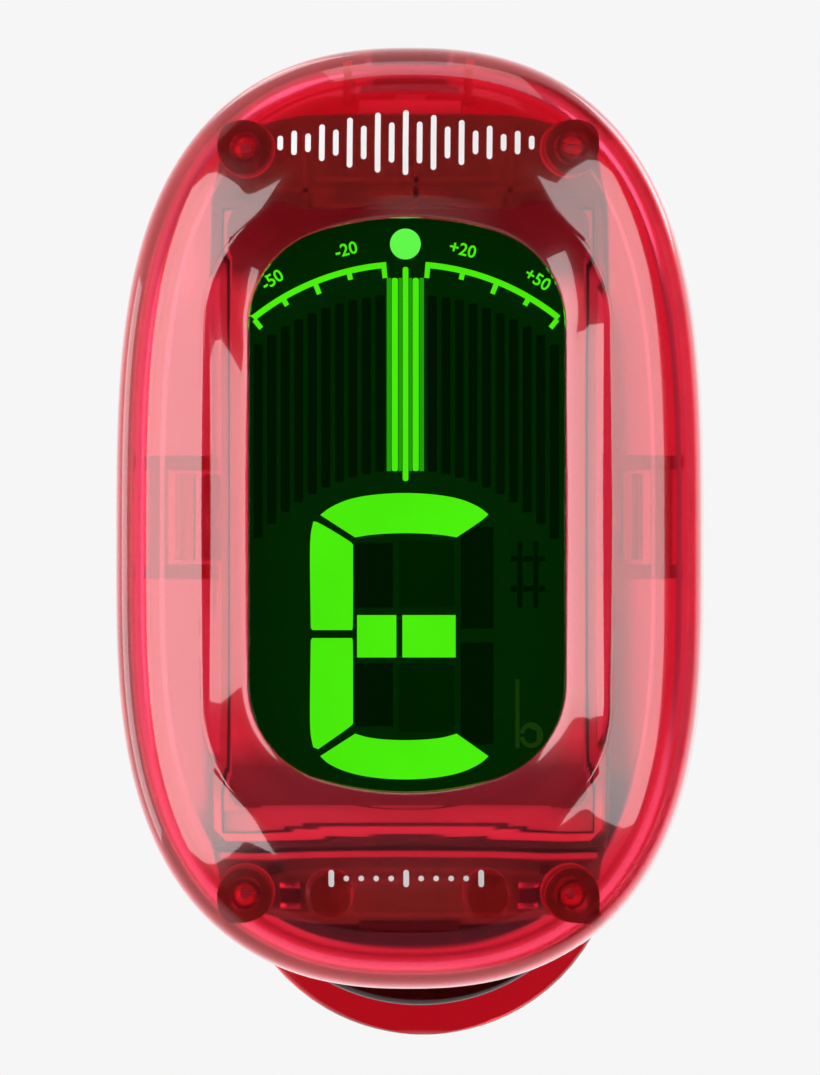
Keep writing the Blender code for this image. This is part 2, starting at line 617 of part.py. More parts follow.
# ================================================================== ARM
arm = turned([(DISC_R - 0.4, DISC_FRONT), (DISC_R, DISC_FRONT + 0.4), (DISC_R, DISC_REAR)], (0, 0, TILT_Z), n=40)
arc = [(TILT_Y - KNUCKLE_R * math.sin(a), TILT_Z + KNUCKLE_R * math.cos(a)) for a in np.linspace(0, math.pi, 15)]
fuse(arm, prism_x([(DISC_FRONT + 0.5, TILT_Z - KNUCKLE_R), (DISC_FRONT + 0.5, TILT_Z + KNUCKLE_R)] + arc, -KNUCKLE_HALF, KNUCKLE_HALF))
cut(arm, turned([(1.3, -4), (1.3, 4)], (0, TILT_Y, TILT_Z), axis="X", n=24))
cut(arm, turned([(1.55, -8.3), (1.55, -5.0)], (0, 0, TILT_Z), n=24))
hang(arm, "swivel_arm", "arm", "red_clip")
screw = turned([(2.3, -1.80), (2.8, -2.1), (2.8, -2.70), (1.25, -2.70), (1.25, -8.0)], (0, 0, TILT_Z), n=28)
cut(screw, box(-2.0, 2.0, -2.15, -1.0, TILT_Z - 0.3, TILT_Z + 0.3))
hang(screw, "swivel_screw", "arm", "steel")
washer = turned([(2.95, -3.05), (2.95, -2.80)], (0, 0, TILT_Z), n=28)
cut(washer, turned([(1.55, -4), (1.55, -2)], (0, 0, TILT_Z), n=24))
hang(washer, "swivel_washer", "arm", "steel")


# ================================================================== CLIP
def jaw_outline(r_end, top, shoulder, waist, tip, corner, n=9):
    """Round lower end, tapering sides, rounded finger end; (x, z) counter-clockwise."""
    pts = [(r_end * math.cos(a), END_Z + r_end * math.sin(a)) for a in np.linspace(-math.pi, 0, 27)]
    pts += [(waist, shoulder)]
    pts += [(tip - corner + corner * math.cos(a), top - corner + corner * math.sin(a)) for a in np.linspace(0, math.pi / 2, n)]
    pts += [(-tip + corner - corner * math.cos(a), top - corner + corner * math.sin(a)) for a in np.linspace(math.pi / 2, 0, n)]
    pts += [(-waist, shoulder)]
    return pts


jaw = prism_y(jaw_outline(FRONT_END_R, TAB_TOP, 19.0, 10.4, 9.6, 4.5), JAW_FRONT, JAW_BACK, 0.6)
fuse(jaw, turned([(DISC_R, BOSS_FRONT), (DISC_R, JAW_FRONT + 0.6)], (0, 0, TILT_Z), n=40))
for sx in (-1, 1):
    arc = [(PIVOT_Y + 3.2 * math.sin(a), PIVOT_Z + 3.2 * math.cos(a)) for a in np.linspace(0, math.pi, 17)]
    a, b = sorted((sx * 5.0, sx * 7.0))
    fuse(jaw, prism_x([(-2.2, PIVOT_Z - 3.4), (-2.2, PIVOT_Z + 4.2)] + arc, a, b))
cut(jaw, turned([(1.4, -12), (1.4, 12)], (0, PIVOT_Y, PIVOT_Z), axis="X", n=24))
cut(jaw, turned([(3.4, -3.2), (3.4, 0.0)], (0, 0, TILT_Z), n=32))
cut(jaw, turned([(1.75, -8.0), (1.75, 0.0)], (0, 0, TILT_Z), n=24))
for k in range(4):
    # grip ribs on the finger tab
    z = 27.4 + 2.1 * k
    fuse(jaw, loft([[(x, y, z + e) for y, e in ((JAW_FRONT + 0.4, -0.55), (JAW_FRONT + 0.4, 0.55), (JAW_FRONT - 0.35, 0.25), (JAW_FRONT - 0.35, -0.25))]
                    for x in (-6.5, 6.5)]))
hang(jaw, "front_jaw", "clip", "red_clip")


def pad_outline():
    pts = [(PAD_R * math.cos(a), END_Z + PAD_R * math.sin(a)) for a in np.linspace(-math.pi, 0, 25)]
    c = 1.5
    pts += [(PAD_R - c + c * math.cos(a), PAD_TOP - c + c * math.sin(a)) for a in np.linspace(0, math.pi / 2, 5)]
    pts += [(-PAD_R + c - c * math.cos(a), PAD_TOP - c + c * math.sin(a)) for a in np.linspace(math.pi / 2, 0, 5)]
    return pts


hang(prism_y(pad_outline(), -PAD_T, 0.0, 0.25), "front_pad", "clip", "rubber_pad")

pin = turned([(1.5, -10.4), (1.8, -10.2), (1.8, -9.65), (1.1, -9.65), (1.1, 9.65), (1.8, 9.65), (1.8, 10.2), (1.5, 10.4)],
             (0, PIVOT_Y, PIVOT_Z), axis="X", n=24)
hang(pin, "jaw_pivot_pin", "clip", "steel")

# torsion spring: one leg on each finger tab, the coil round the pin
turns = 5.5
xs = 3.8
path = [(xs, -0.70, 33.0), (xs, -0.70, 31.5), (xs, -0.35, 28.5), (xs, 0.45, 25.5)]
steps = int(turns * 14)
for k in range(steps + 1):
    a = math.pi + 2 * math.pi * turns * k / steps
    path.append((xs - 2 * xs * k / steps, PIVOT_Y + SPRING_R * math.cos(a), PIVOT_Z + SPRING_R * math.sin(a)))
path += [(-xs, 7.35, 25.0), (-xs, 8.9, 28.0), (-xs, 10.35, 31.0), (-xs, 10.9, 32.3)]
hang(wire(path, SPRING_WIRE, 6), "torsion_spring", "clip", "steel")


# ---- rear jaw: a bent plate, then its ears
def rear_path(z):
    zs = [-10.0, 0.0, 7.0, 8.4, 10.0, 12.0, 14.0, 17.0, 20.0, 24.0, 28.0, 33.0, 38.0]
    ys = [3.15, 3.15, 3.15, 3.75, 5.3, 7.3, 8.6, 9.3, 9.6, 10.2, 11.6, 14.0, 16.4]
    return float(np.interp(z, zs, ys))


def rear_half(z):
    if z < REAR_END_Z:
        return math.sqrt(max(REAR_END_R ** 2 - (z - REAR_END_Z) ** 2, 0.0))
    if z < 19.0:
        return REAR_END_R + (10.9 - REAR_END_R) * (z - REAR_END_Z) / (19.0 - REAR_END_Z)
    top = TAB_TOP + 1.0
    w = 10.9 + (9.9 - 10.9) * (z - 19.0) / (top - 19.0)
    c = 4.6
    if z > top - c:
        w = w - c + math.sqrt(max(c * c - (z - top + c) ** 2, 0.0))
    return w


rows = [REAR_END_Z - REAR_END_R * math.sin(math.radians(a)) for a in (87, 80, 70, 60, 50, 40, 30, 20, 10)]
rows += [REAR_END_Z, 7.0, 8.4, 10.0, 12.0, 14.0, 17.0, 20.0, 24.0, 28.0, 33.0]
rows += [TAB_TOP + 1.0 - 4.6 + 4.6 * math.sin(math.radians(a)) for a in (15, 35, 52, 67, 78)] + [TAB_TOP + 0.99]
rings = []
for i, z in enumerate(rows):
    y = rear_path(z)
    w = rear_half(z)
    dy = rear_path(z + 0.6) - rear_path(z - 0.6)
    t = Vector((0, dy, 1.2)).normalized()
    nrm = Vector((0, t.z, -t.y))
    h = REAR_T / 2
    if i == 0 or i == len(rows) - 1:
        h -= 0.5
    elif i == 1 or i == len(rows) - 2:
        h -= 0.15
    c = min(0.6, 0.35 * w)
    ch = min(0.6, 0.6 * h)
    mid = Vector((0, y, z))
    ring = []
    for u, v in ((-w + c, -h), (w - c, -h), (w, -h + ch), (w, h - ch), (w - c, h), (-w + c, h), (-w, h - ch), (-w, -h + ch)):
        ring.append(tuple(mid + Vector((u, 0, 0)) + nrm * v))
    rings.append(ring)
rear = loft(rings)
for sx in (-1, 1):
    arc = [(PIVOT_Y - 3.0 * math.sin(a), PIVOT_Z - 3.0 * math.cos(a)) for a in np.linspace(0, math.pi, 17)]
    a, b = sorted((sx * 7.3, sx * 9.3))
    fuse(rear, prism_x([(9.7, PIVOT_Z + 3.6), (9.2, PIVOT_Z - 3.8)] + arc, a, b))
cut(rear, turned([(1.4, -12), (1.4, 12)], (0, PIVOT_Y, PIVOT_Z), axis="X", n=24))
hang(rear, "rear_jaw", "rear_jaw", "red_clip")
hang(prism_y(pad_outline(), PAD_GAP, PAD_GAP + PAD_T, 0.25), "rear_pad", "rear_jaw", "rubber_pad")

bpy.context.view_layer.update()
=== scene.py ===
"""Looks for the clip-on tuner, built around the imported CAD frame. Lengths in millimetres until a mesh is finished."""
import json
import math

import bmesh
import bpy
import numpy as np
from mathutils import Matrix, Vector

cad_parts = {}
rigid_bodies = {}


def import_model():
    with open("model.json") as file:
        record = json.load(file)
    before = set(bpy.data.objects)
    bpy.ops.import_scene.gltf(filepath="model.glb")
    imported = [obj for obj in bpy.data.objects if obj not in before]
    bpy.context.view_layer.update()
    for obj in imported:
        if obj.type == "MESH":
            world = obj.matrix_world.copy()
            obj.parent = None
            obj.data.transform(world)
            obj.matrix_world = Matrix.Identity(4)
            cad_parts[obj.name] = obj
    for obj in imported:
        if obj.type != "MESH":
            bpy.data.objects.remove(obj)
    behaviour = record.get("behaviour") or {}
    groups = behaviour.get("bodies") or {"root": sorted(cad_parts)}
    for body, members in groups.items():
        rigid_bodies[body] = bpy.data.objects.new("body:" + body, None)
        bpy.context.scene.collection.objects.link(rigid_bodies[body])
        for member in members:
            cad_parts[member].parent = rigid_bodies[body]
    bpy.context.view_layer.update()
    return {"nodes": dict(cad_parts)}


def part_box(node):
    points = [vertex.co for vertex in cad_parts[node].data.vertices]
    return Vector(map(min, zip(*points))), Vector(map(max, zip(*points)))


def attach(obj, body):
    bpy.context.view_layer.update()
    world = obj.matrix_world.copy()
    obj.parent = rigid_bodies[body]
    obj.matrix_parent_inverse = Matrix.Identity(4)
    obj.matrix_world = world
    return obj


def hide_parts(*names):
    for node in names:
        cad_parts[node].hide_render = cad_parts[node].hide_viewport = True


for _o in list(bpy.data.objects):
    bpy.data.objects.remove(_o, do_unlink=True)

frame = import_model()
NODES = frame["nodes"]
MM = 0.001


def span(node):
    lo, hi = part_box(node)
    return lo * 1000, hi * 1000


# ------------------------------------------------------------------ where the CAD put things
_b = span("circuit_board")
BOARD_FRONT, BOARD_REAR = 6.50, 7.30
HEAD_Y = _b[0].y - BOARD_FRONT          # the head's front plane
HEAD_Z = _b[1].z - 24.0                 # the middle of the head's height
_p = span("tilt_pin")
TILT_Y = 0.5 * (_p[0].y + _p[1].y)
TILT_Z = 0.5 * (_p[0].z + _p[1].z)
_p = span("jaw_pivot_pin")
PIVOT_Y = 0.5 * (_p[0].y + _p[1].y)
PIVOT_Z = 0.5 * (_p[0].z + _p[1].z)

HEAD_A, HEAD_B_TOP, HEAD_B_BOTTOM = 17.70, 31.00, 25.80
HEAD_M, HEAD_N_TOP, HEAD_N_BOTTOM = 2.368, 3.43, 2.989
HEAD_WIDEST_Z = -2.62
HEAD_THICK = 13.10
HEAD_WALL = 1.35
SEAM_FRONT, SEAM_REAR = 8.50, 8.70
WINDOW_HALF, WINDOW_TOP, WINDOW_BOTTOM, WINDOW_R, WINDOW_BOW = 9.60, 18.00, -16.60, 6.00, 0.55
RIDGE_HALF, RIDGE_TOP, RIDGE_BOTTOM, RIDGE_R = 12.10, 19.60, -19.50, 7.50
LENS_DEPTH = 1.45
BOSS_X, BOSS_Z_TOP, BOSS_Z_BOTTOM = 9.65, 22.08, -22.50
CELL_Z, CELL_R = 7.00, 10.00
DOOR_BOTTOM, DOOR_INNER, DOOR_HALF_IN, DOOR_HALF_OUT = -4.60, 11.90, 11.20, 10.50
SNAP_Z_UPPER, SNAP_Z_LOWER = 3.36, -3.24
KNUCKLE_R, KNUCKLE_HALF = 2.30, 2.40
EAR_IN, EAR_OUT = 3.50, 5.50
DISC_R, DISC_FRONT, DISC_REAR, BOSS_FRONT = 5.00, -8.50, -6.50, -6.20
PAD_T, PAD_R, PAD_TOP, PAD_GAP = 1.20, 11.40, 7.00, 0.35
END_Z, REAR_END_Z, FRONT_END_R, REAR_END_R = 4.40, 2.50, 12.00, 12.00
JAW_FRONT, JAW_BACK, TAB_TOP, REAR_T = -4.40, -1.50, 37.00, 2.60
SPRING_R, SPRING_WIRE = 2.70, 0.45


# ------------------------------------------------------------------ shader helpers
def new_mat(name):
    m = bpy.data.materials.new(name)
    m.use_nodes = True
    nt = m.node_tree
    nt.nodes.clear()
    out = nt.nodes.new("ShaderNodeOutputMaterial")
    p = nt.nodes.new("ShaderNodeBsdfPrincipled")
    nt.links.new(p.outputs[0], out.inputs[0])
    return m, nt, p, out


def coords(nt, scale=(1, 1, 1)):
    tc = nt.nodes.new("ShaderNodeTexCoord")
    mp = nt.nodes.new("ShaderNodeMapping")
    mp.inputs["Scale"].default_value = scale
    nt.links.new(tc.outputs["Object"], mp.inputs[0])
    return mp.outputs[0]


def noise(nt, vec, scale, detail=3.0, rough=0.5):
    n = nt.nodes.new("ShaderNodeTexNoise")
    n.inputs["Scale"].default_value = scale
    n.inputs["Detail"].default_value = detail
    n.inputs["Roughness"].default_value = rough
    nt.links.new(vec, n.inputs["Vector"])
    return n.outputs[0]


def ramp(nt, fac, stops):
    r = nt.nodes.new("ShaderNodeValToRGB")
    els = r.color_ramp.elements
    while len(els) < len(stops):
        els.new(0.5)
    for e, (pos, col) in zip(els, stops):
        e.position = pos
        e.color = (*col, 1) if len(col) == 3 else col
    nt.links.new(fac, r.inputs[0])
    return r.outputs[0]


def bump(nt, p, height, strength, distance):
    b = nt.nodes.new("ShaderNodeBump")
    b.inputs["Strength"].default_value = strength
    b.inputs["Distance"].default_value = distance
    nt.links.new(height, b.inputs["Height"])
    nt.links.new(b.outputs[0], p.inputs["Normal"])
    return b


def rough_map(nt, p, fac, lo, hi):
    m = nt.nodes.new("ShaderNodeMapRange")
    m.inputs["To Min"].default_value = lo
    m.inputs["To Max"].default_value = hi
    nt.links.new(fac, m.inputs["Value"])
    nt.links.new(m.outputs[0], p.inputs["Roughness"])


def see_through(name, tint_a, tint_b, lamp, rough=(0.02, 0.05), ior=1.50, wave=0.04, edge=None, coat=0.0, glow=None):
    """Clear or tinted moulded plastic that lets lamps through."""
    m, nt, p, out = new_mat(name)
    v = coords(nt)
    n = noise(nt, v, 90.0, 2.0)
    tint = ramp(nt, n, [(0.35, tint_a), (0.65, tint_b)])
    if edge:
        # painted shade: walls that stand along the depth of the head get a deeper red, standing in for being seen
        # through more plastic
        tc = nt.nodes.new("ShaderNodeTexCoord")
        sep = nt.nodes.new("ShaderNodeSeparateXYZ")
        nt.links.new(tc.outputs["Normal"], sep.inputs[0])
        ab = nt.nodes.new("ShaderNodeMath")
        ab.operation = "ABSOLUTE"
        nt.links.new(sep.outputs[1], ab.inputs[0])
        mr = nt.nodes.new("ShaderNodeMapRange")
        mr.interpolation_type = "SMOOTHSTEP"
        mr.inputs["From Min"].default_value = 0.45
        mr.inputs["From Max"].default_value = 0.92
        nt.links.new(ab.outputs[0], mr.inputs["Value"])
        mix = nt.nodes.new("ShaderNodeMix")
        mix.data_type = "RGBA"
        nt.links.new(mr.outputs[0], mix.inputs[0])
        mix.inputs[6].default_value = (*edge, 1)
        nt.links.new(tint, mix.inputs[7])
        tint = mix.outputs[2]
        if glow:
            # painted glow: emission at the steep edges stands in for light caught inside the plastic coming out there
            mg = nt.nodes.new("ShaderNodeMapRange")
            mg.interpolation_type = "SMOOTHSTEP"
            mg.inputs["From Min"].default_value = 0.35
            mg.inputs["From Max"].default_value = 0.70
            nt.links.new(ab.outputs[0], mg.inputs["Value"])
            mc = nt.nodes.new("ShaderNodeMix")
            mc.data_type = "RGBA"
            nt.links.new(mg.outputs[0], mc.inputs[0])
            mc.inputs[6].default_value = (*glow, 1)
            mc.inputs[7].default_value = (0, 0, 0, 1)
            nt.links.new(mc.outputs[2], p.inputs["Emission Color"])
            p.inputs["Emission Strength"].default_value = 1.0
    nt.links.new(tint, p.inputs["Base Color"])
    rough_map(nt, p, noise(nt, v, 350.0, 2.0), *rough)
    p.inputs["Transmission Weight"].default_value = 1.0
    p.inputs["IOR"].default_value = ior
    if coat:
        p.inputs["Coat Weight"].default_value = coat
        p.inputs["Coat Roughness"].default_value = 0.02
        p.inputs["Coat IOR"].default_value = 1.5
    if wave:
        bump(nt, p, noise(nt, v, 160.0, 1.0), wave, 0.0004)
    lp = nt.nodes.new("ShaderNodeLightPath")
    tr = nt.nodes.new("ShaderNodeBsdfTransparent")
    tr.inputs[0].default_value = (*lamp, 1)
    mx = nt.nodes.new("ShaderNodeMixShader")
    nt.links.new(lp.outputs["Is Shadow Ray"], mx.inputs[0])
    nt.links.new(p.outputs[0], mx.inputs[1])
    nt.links.new(tr.outputs[0], mx.inputs[2])
    nt.links.new(mx.outputs[0], out.inputs[0])
    return m


def moulded(name, a, b, rough=(0.35, 0.5), grain=900.0, height=0.15, spec=0.5, scale=120.0):
    m, nt, p, out = new_mat(name)
    v = coords(nt)
    nt.links.new(ramp(nt, noise(nt, v, scale, 4.0), [(0.3, a), (0.7, b)]), p.inputs["Base Color"])
    rough_map(nt, p, noise(nt, v, scale * 3, 3.0), *rough)
    p.inputs["Specular IOR Level"].default_value = spec
    if height:
        bump(nt, p, noise(nt, v, grain, 3.0), height, 0.0002)
    return m


def metal(name, a, b, rough=(0.2, 0.4), stretch=(1, 1, 12), height=0.1):
    m, nt, p, out = new_mat(name)
    v = coords(nt, stretch)
    n = noise(nt, v, 500.0, 4.0)
    nt.links.new(ramp(nt, n, [(0.3, a), (0.7, b)]), p.inputs["Base Color"])
    rough_map(nt, p, noise(nt, v, 900.0, 3.0), *rough)
    p.inputs["Metallic"].default_value = 1.0
    bump(nt, p, n, height, 0.0001)
    return m


def glowing(name, colour, strength=1.0, base=(0.0, 0.0, 0.0), dim=0.9):
    """Lit part of the display, with a faint unevenness of the light behind it."""
    m, nt, p, out = new_mat(name)
    v = coords(nt)
    n = noise(nt, v, 140.0, 2.0)
    low = tuple(c * dim for c in colour)
    nt.links.new(ramp(nt, n, [(0.3, low), (0.7, colour)]), p.inputs["Emission Color"])
    p.inputs["Emission Strength"].default_value = strength
    p.inputs["Base Color"].default_value = (*base, 1)
    p.inputs["Roughness"].default_value = 0.3
    p.inputs["Specular IOR Level"].default_value = 0.0
    return m


# the shells carry painted shade (a deeper red at their side walls) and a painted glow at their steep edges
RED = see_through("red_polycarbonate", (0.90, 0.160, 0.245), (0.88, 0.135, 0.215), (0.88, 0.22, 0.28), rough=(0.15, 0.19), ior=1.28,
                  edge=(0.86, 0.038, 0.11), coat=1.0, glow=(0.145, 0.005, 0.009))
RED_COVER = see_through("red_polycarbonate_rear", (0.90, 0.160, 0.245), (0.88, 0.135, 0.215), (0.88, 0.22, 0.28), rough=(0.12, 0.16), ior=1.30,
                        edge=(0.88, 0.05, 0.12), coat=1.0, glow=(0.10, 0.003, 0.006))
# a darker copy of the shell's red: painted shade for the walls of the snap pockets
RED_POCKET_SHADE = see_through("red_polycarbonate_pocket_shade", (0.62, 0.10, 0.13), (0.56, 0.08, 0.11), (0.80, 0.16, 0.20), rough=(0.12, 0.16), ior=1.25)
RED_CLIP = see_through("red_clip_plastic", (0.53, 0.005, 0.014), (0.49, 0.004, 0.011), (0.70, 0.05, 0.07), rough=(0.08, 0.14))
CLEAR = see_through("clear_acrylic", (0.985, 0.99, 0.985), (0.975, 0.985, 0.98), (0.96, 0.97, 0.96), rough=(0.0, 0.01), ior=1.20, wave=0.0)
FOAM = moulded("black_foam", (0.012, 0.012, 0.012), (0.03, 0.03, 0.03), (0.8, 0.95), 2500.0, 0.5, 0.2)
WHITE = moulded("white_plastic", (0.80, 0.79, 0.76), (0.86, 0.85, 0.83), (0.35, 0.5))
CHIP = moulded("chip_epoxy", (0.020, 0.020, 0.022), (0.035, 0.035, 0.038), (0.4, 0.6), 1800.0, 0.35)
STEEL = metal("zinc_steel", (0.50, 0.50, 0.48), (0.68, 0.68, 0.66))
NICKEL = metal("nickel_can", (0.62, 0.61, 0.58), (0.78, 0.77, 0.74), (0.18, 0.32), (10, 1, 1), 0.06)
BRASS = metal("sheet_brass", (0.70, 0.48, 0.18), (0.84, 0.62, 0.28))
CERAMIC = moulded("silvered_ceramic", (0.62, 0.58, 0.50), (0.74, 0.70, 0.62), (0.4, 0.6))
TAN = moulded("capacitor_body", (0.36, 0.23, 0.11), (0.50, 0.34, 0.18), (0.4, 0.6))
RUBBER = moulded("silicone_pad", (0.022, 0.012, 0.012), (0.045, 0.022, 0.022), (0.6, 0.8), 2200.0, 0.4, 0.3)
NYLON = moulded("nylon", (0.68, 0.66, 0.60), (0.78, 0.76, 0.70), (0.4, 0.55))
LEAD_RED = moulded("lead_red", (0.50, 0.02, 0.02), (0.66, 0.04, 0.03), (0.4, 0.55))
LEAD_BLACK = moulded("lead_black", (0.015, 0.015, 0.015), (0.035, 0.035, 0.035), (0.4, 0.55))
ZEBRA = moulded("zebra_silicone", (0.38, 0.07, 0.09), (0.62, 0.20, 0.22), (0.6, 0.8), 2000.0, 0.3)
PRINT = moulded("white_print", (0.88, 0.88, 0.88), (0.96, 0.96, 0.96), (0.45, 0.6), 1500.0, 0.1)
GREY_PRINT = moulded("grey_print", (0.62, 0.60, 0.60), (0.72, 0.70, 0.70), (0.45, 0.6), 1500.0, 0.1)
LED = moulded("led_case", (0.80, 0.80, 0.62), (0.90, 0.90, 0.72), (0.25, 0.4))
SOLDER = metal("solder", (0.55, 0.55, 0.54), (0.72, 0.72, 0.71), (0.2, 0.35), (1, 1, 1), 0.2)
COPPER = metal("tinned_copper", (0.62, 0.50, 0.34), (0.78, 0.66, 0.46), (0.3, 0.45), (1, 1, 1), 0.1)
GUIDE = moulded("frosted_guide", (0.70, 0.78, 0.70), (0.80, 0.86, 0.80), (0.4, 0.6))

LIT = glowing("segment_lit", (0.075, 0.905, 0.004))
LIT_DOT = glowing("segment_dot", (0.13, 1.0, 0.075))
MID = glowing("segment_mid", (0.018, 0.36, 0.004))
OFF = glowing("segment_off", (0.0001, 0.0068, 0.0001))
OFF_SOFT = glowing("segment_off_soft", (0.0001, 0.0128, 0.0001))
FLAT_SIGN = glowing("segment_faint", (0.009, 0.040, 0.002))


def board_material():
    """Lacquered board; its green goes dark brown behind the red plastic."""
    m, nt, p, out = new_mat("board_laminate")
    v = coords(nt, (1, 1, 0.25))
    n = noise(nt, v, 420.0, 5.0)
    nt.links.new(ramp(nt, n, [(0.25, (0.090, 0.360, 0.085)), (0.75, (0.125, 0.440, 0.110))]), p.inputs["Base Color"])
    rough_map(nt, p, noise(nt, v, 400.0), 0.35, 0.55)
    bump(nt, p, n, 0.2, 0.0001)
    return m


def painted_shade_by_height(name, stops, rough=(0.4, 0.6), grain=900.0):
    """Plastic with painted shade: its colour changes with height inside the head, darker at the top and the foot, where
    the board shades it.
    """
    m, nt, p, out = new_mat(name)
    v = coords(nt)
    sep = nt.nodes.new("ShaderNodeSeparateXYZ")
    nt.links.new(v, sep.inputs[0])
    mr = nt.nodes.new("ShaderNodeMapRange")
    mr.inputs["From Min"].default_value = (HEAD_Z - 20.0) * MM
    mr.inputs["From Max"].default_value = (HEAD_Z + 20.0) * MM
    nt.links.new(sep.outputs[2], mr.inputs["Value"])
    nt.links.new(ramp(nt, mr.outputs[0], [((z + 20.0) / 40.0, c) for z, c in stops]), p.inputs["Base Color"])
    rough_map(nt, p, noise(nt, v, 400.0), *rough)
    bump(nt, p, noise(nt, v, grain), 0.15, 0.0001)
    return m


def display_face_material():
    """The display's dark green ground, a little brighter towards its middle."""
    m, nt, p, out = new_mat("display_ground")
    v = coords(nt)
    mp = nt.nodes.new("ShaderNodeMapping")
    mp.inputs["Location"].default_value = (0, 0, -HEAD_Z * MM)
    nt.links.new(v, mp.inputs[0])
    g = nt.nodes.new("ShaderNodeVectorMath")
    g.operation = "LENGTH"
    nt.links.new(mp.outputs[0], g.inputs[0])
    mr = nt.nodes.new("ShaderNodeMapRange")
    mr.inputs["From Min"].default_value = 0.0
    mr.inputs["From Max"].default_value = 0.026
    nt.links.new(g.outputs["Value"], mr.inputs["Value"])
    nt.links.new(ramp(nt, mr.outputs[0], [(0.0, (0.0002, 0.0165, 0.0001)), (1.0, (0.0001, 0.0120, 0.0001))]), p.inputs["Emission Color"])
    p.inputs["Emission Strength"].default_value = 1.0
    p.inputs["Base Color"].default_value = (0.0002, 0.003, 0.0002, 1)
    p.inputs["Roughness"].default_value = 0.25
    p.inputs["Specular IOR Level"].default_value = 0.0
    return m


# the gasket's pale grey gets painted shade: dark towards the top and the foot of the window
PALE_FOAM = painted_shade_by_height("pale_foam", [(-17.5, (0.10, 0.06, 0.05)), (-15.2, (0.13, 0.09, 0.08)), (-13.2, (0.50, 0.46, 0.44)), (13.4, (0.50, 0.46, 0.44)),
                                 (15.0, (0.13, 0.09, 0.08)), (18.5, (0.09, 0.055, 0.045))], (0.8, 0.95), 2500.0)
GREY = moulded("grey_plastic", (0.36, 0.34, 0.33), (0.44, 0.42, 0.40))
SWITCH = moulded("switch_case", (0.52, 0.48, 0.46), (0.60, 0.56, 0.54), (0.35, 0.5))
BOARD = board_material()
# the frame's grey gets painted shade: darkest at the top, a darker band just below the window, palest at its foot
FRAME = painted_shade_by_height("display_frame", [(-19.4, (0.52, 0.50, 0.48)), (-17.2, (0.46, 0.44, 0.42)), (-15.6, (0.26, 0.20, 0.18)), (-13.0, (0.36, 0.33, 0.32)),
                                 (14.3, (0.34, 0.31, 0.30)), (15.6, (0.15, 0.10, 0.09)), (19.0, (0.11, 0.07, 0.06))])
TRACK = moulded("board_track", (0.150, 0.420, 0.120), (0.200, 0.480, 0.150), (0.3, 0.45), 900.0, 0.05)
DARKTRACK = moulded("board_ground", (0.030, 0.120, 0.035), (0.045, 0.160, 0.050), (0.3, 0.45), 900.0, 0.05)
GROUND = display_face_material()
GLASS_EDGE = moulded("display_glass_edge", (0.42, 0.45, 0.41), (0.50, 0.53, 0.48), (0.1, 0.2), 600, 0.0)


# ------------------------------------------------------------------ mesh helpers (millimetres)
def obj_from(bm, name="scratch"):
    bmesh.ops.recalc_face_normals(bm, faces=bm.faces[:])
    me = bpy.data.meshes.new(name)
    bm.to_mesh(me)
    bm.free()
    o = bpy.data.objects.new(name, me)
    bpy.context.scene.collection.objects.link(o)
    return o


def add_loft(bm, rings, closed=False):
    vv = [[bm.verts.new(p) for p in r] for r in rings]
    n = len(vv[0])
    pairs = list(zip(vv[:-1], vv[1:]))
    if closed:
        pairs.append((vv[-1], vv[0]))
    for a, b in pairs:
        for i in range(n):
            j = (i + 1) % n
            bm.faces.new((a[i], a[j], b[j], b[i]))
    if not closed:
        bm.faces.new(vv[0])
        bm.faces.new(vv[-1])


def loft(rings, closed=False):
    bm = bmesh.new()
    add_loft(bm, rings, closed)
    return obj_from(bm)


def box(x0, x1, y0, y1, z0, z1, r=0.0):
    """A block with small chamfers on all its edges."""
    if r <= 0:
        return loft([[(x0, y, z0), (x1, y, z0), (x1, y, z1), (x0, y, z1)] for y in (y0, y1)])
    bm = bmesh.new()
    bmesh.ops.create_cube(bm, size=1.0)
    for v in bm.verts:
        v.co = Vector(((x0 + x1) / 2 + v.co.x * (x1 - x0), (y0 + y1) / 2 + v.co.y * (y1 - y0), (z0 + z1) / 2 + v.co.z * (z1 - z0)))
    bmesh.ops.bevel(bm, geom=bm.edges[:], offset=r, segments=2, profile=0.5, affect="EDGES")
    return obj_from(bm)


def circle(n, r):
    return [(r * math.cos(2 * math.pi * i / n), r * math.sin(2 * math.pi * i / n)) for i in range(n)]


def turned(profile, centre, axis="Y", n=64):
    cx, cy, cz = centre
    rings = []
    for r, s in profile:
        if axis == "Y":
            rings.append([(cx + u, cy + s, cz + v) for u, v in circle(n, r)])
        elif axis == "X":
            rings.append([(cx + s, cy + u, cz + v) for u, v in circle(n, r)])
        else:
            rings.append([(cx + u, cy + v, cz + s) for u, v in circle(n, r)])
    return loft(rings)


def turned_ring(profile, centre, axis="Y", n=64):
    """A turned body with a hole: the profile closes on itself."""
    cx, cy, cz = centre
    rings = []
    for r, s in profile:
        if axis == "Y":
            rings.append([(cx + u, cy + s, cz + v) for u, v in circle(n, r)])
        else:
            rings.append([(cx + s, cy + u, cz + v) for u, v in circle(n, r)])
    return loft(rings, closed=True)


def prism_y(points, y0, y1, edge=0.0, steps=1):
    if edge <= 0:
        return loft([[(x, y, z) for x, z in points] for y in (y0, y1)])
    rings = []
    for k in range(steps + 1):
        a = math.pi / 2 * k / steps
        pts = inset(points, edge * (1 - math.sin(a)))
        rings.append([(x, y0 + edge * (1 - math.cos(a)), z) for x, z in pts])
    for k in range(steps, -1, -1):
        a = math.pi / 2 * k / steps
        pts = inset(points, edge * (1 - math.sin(a)))
        rings.append([(x, y1 - edge * (1 - math.cos(a)), z) for x, z in pts])
    return loft(rings)


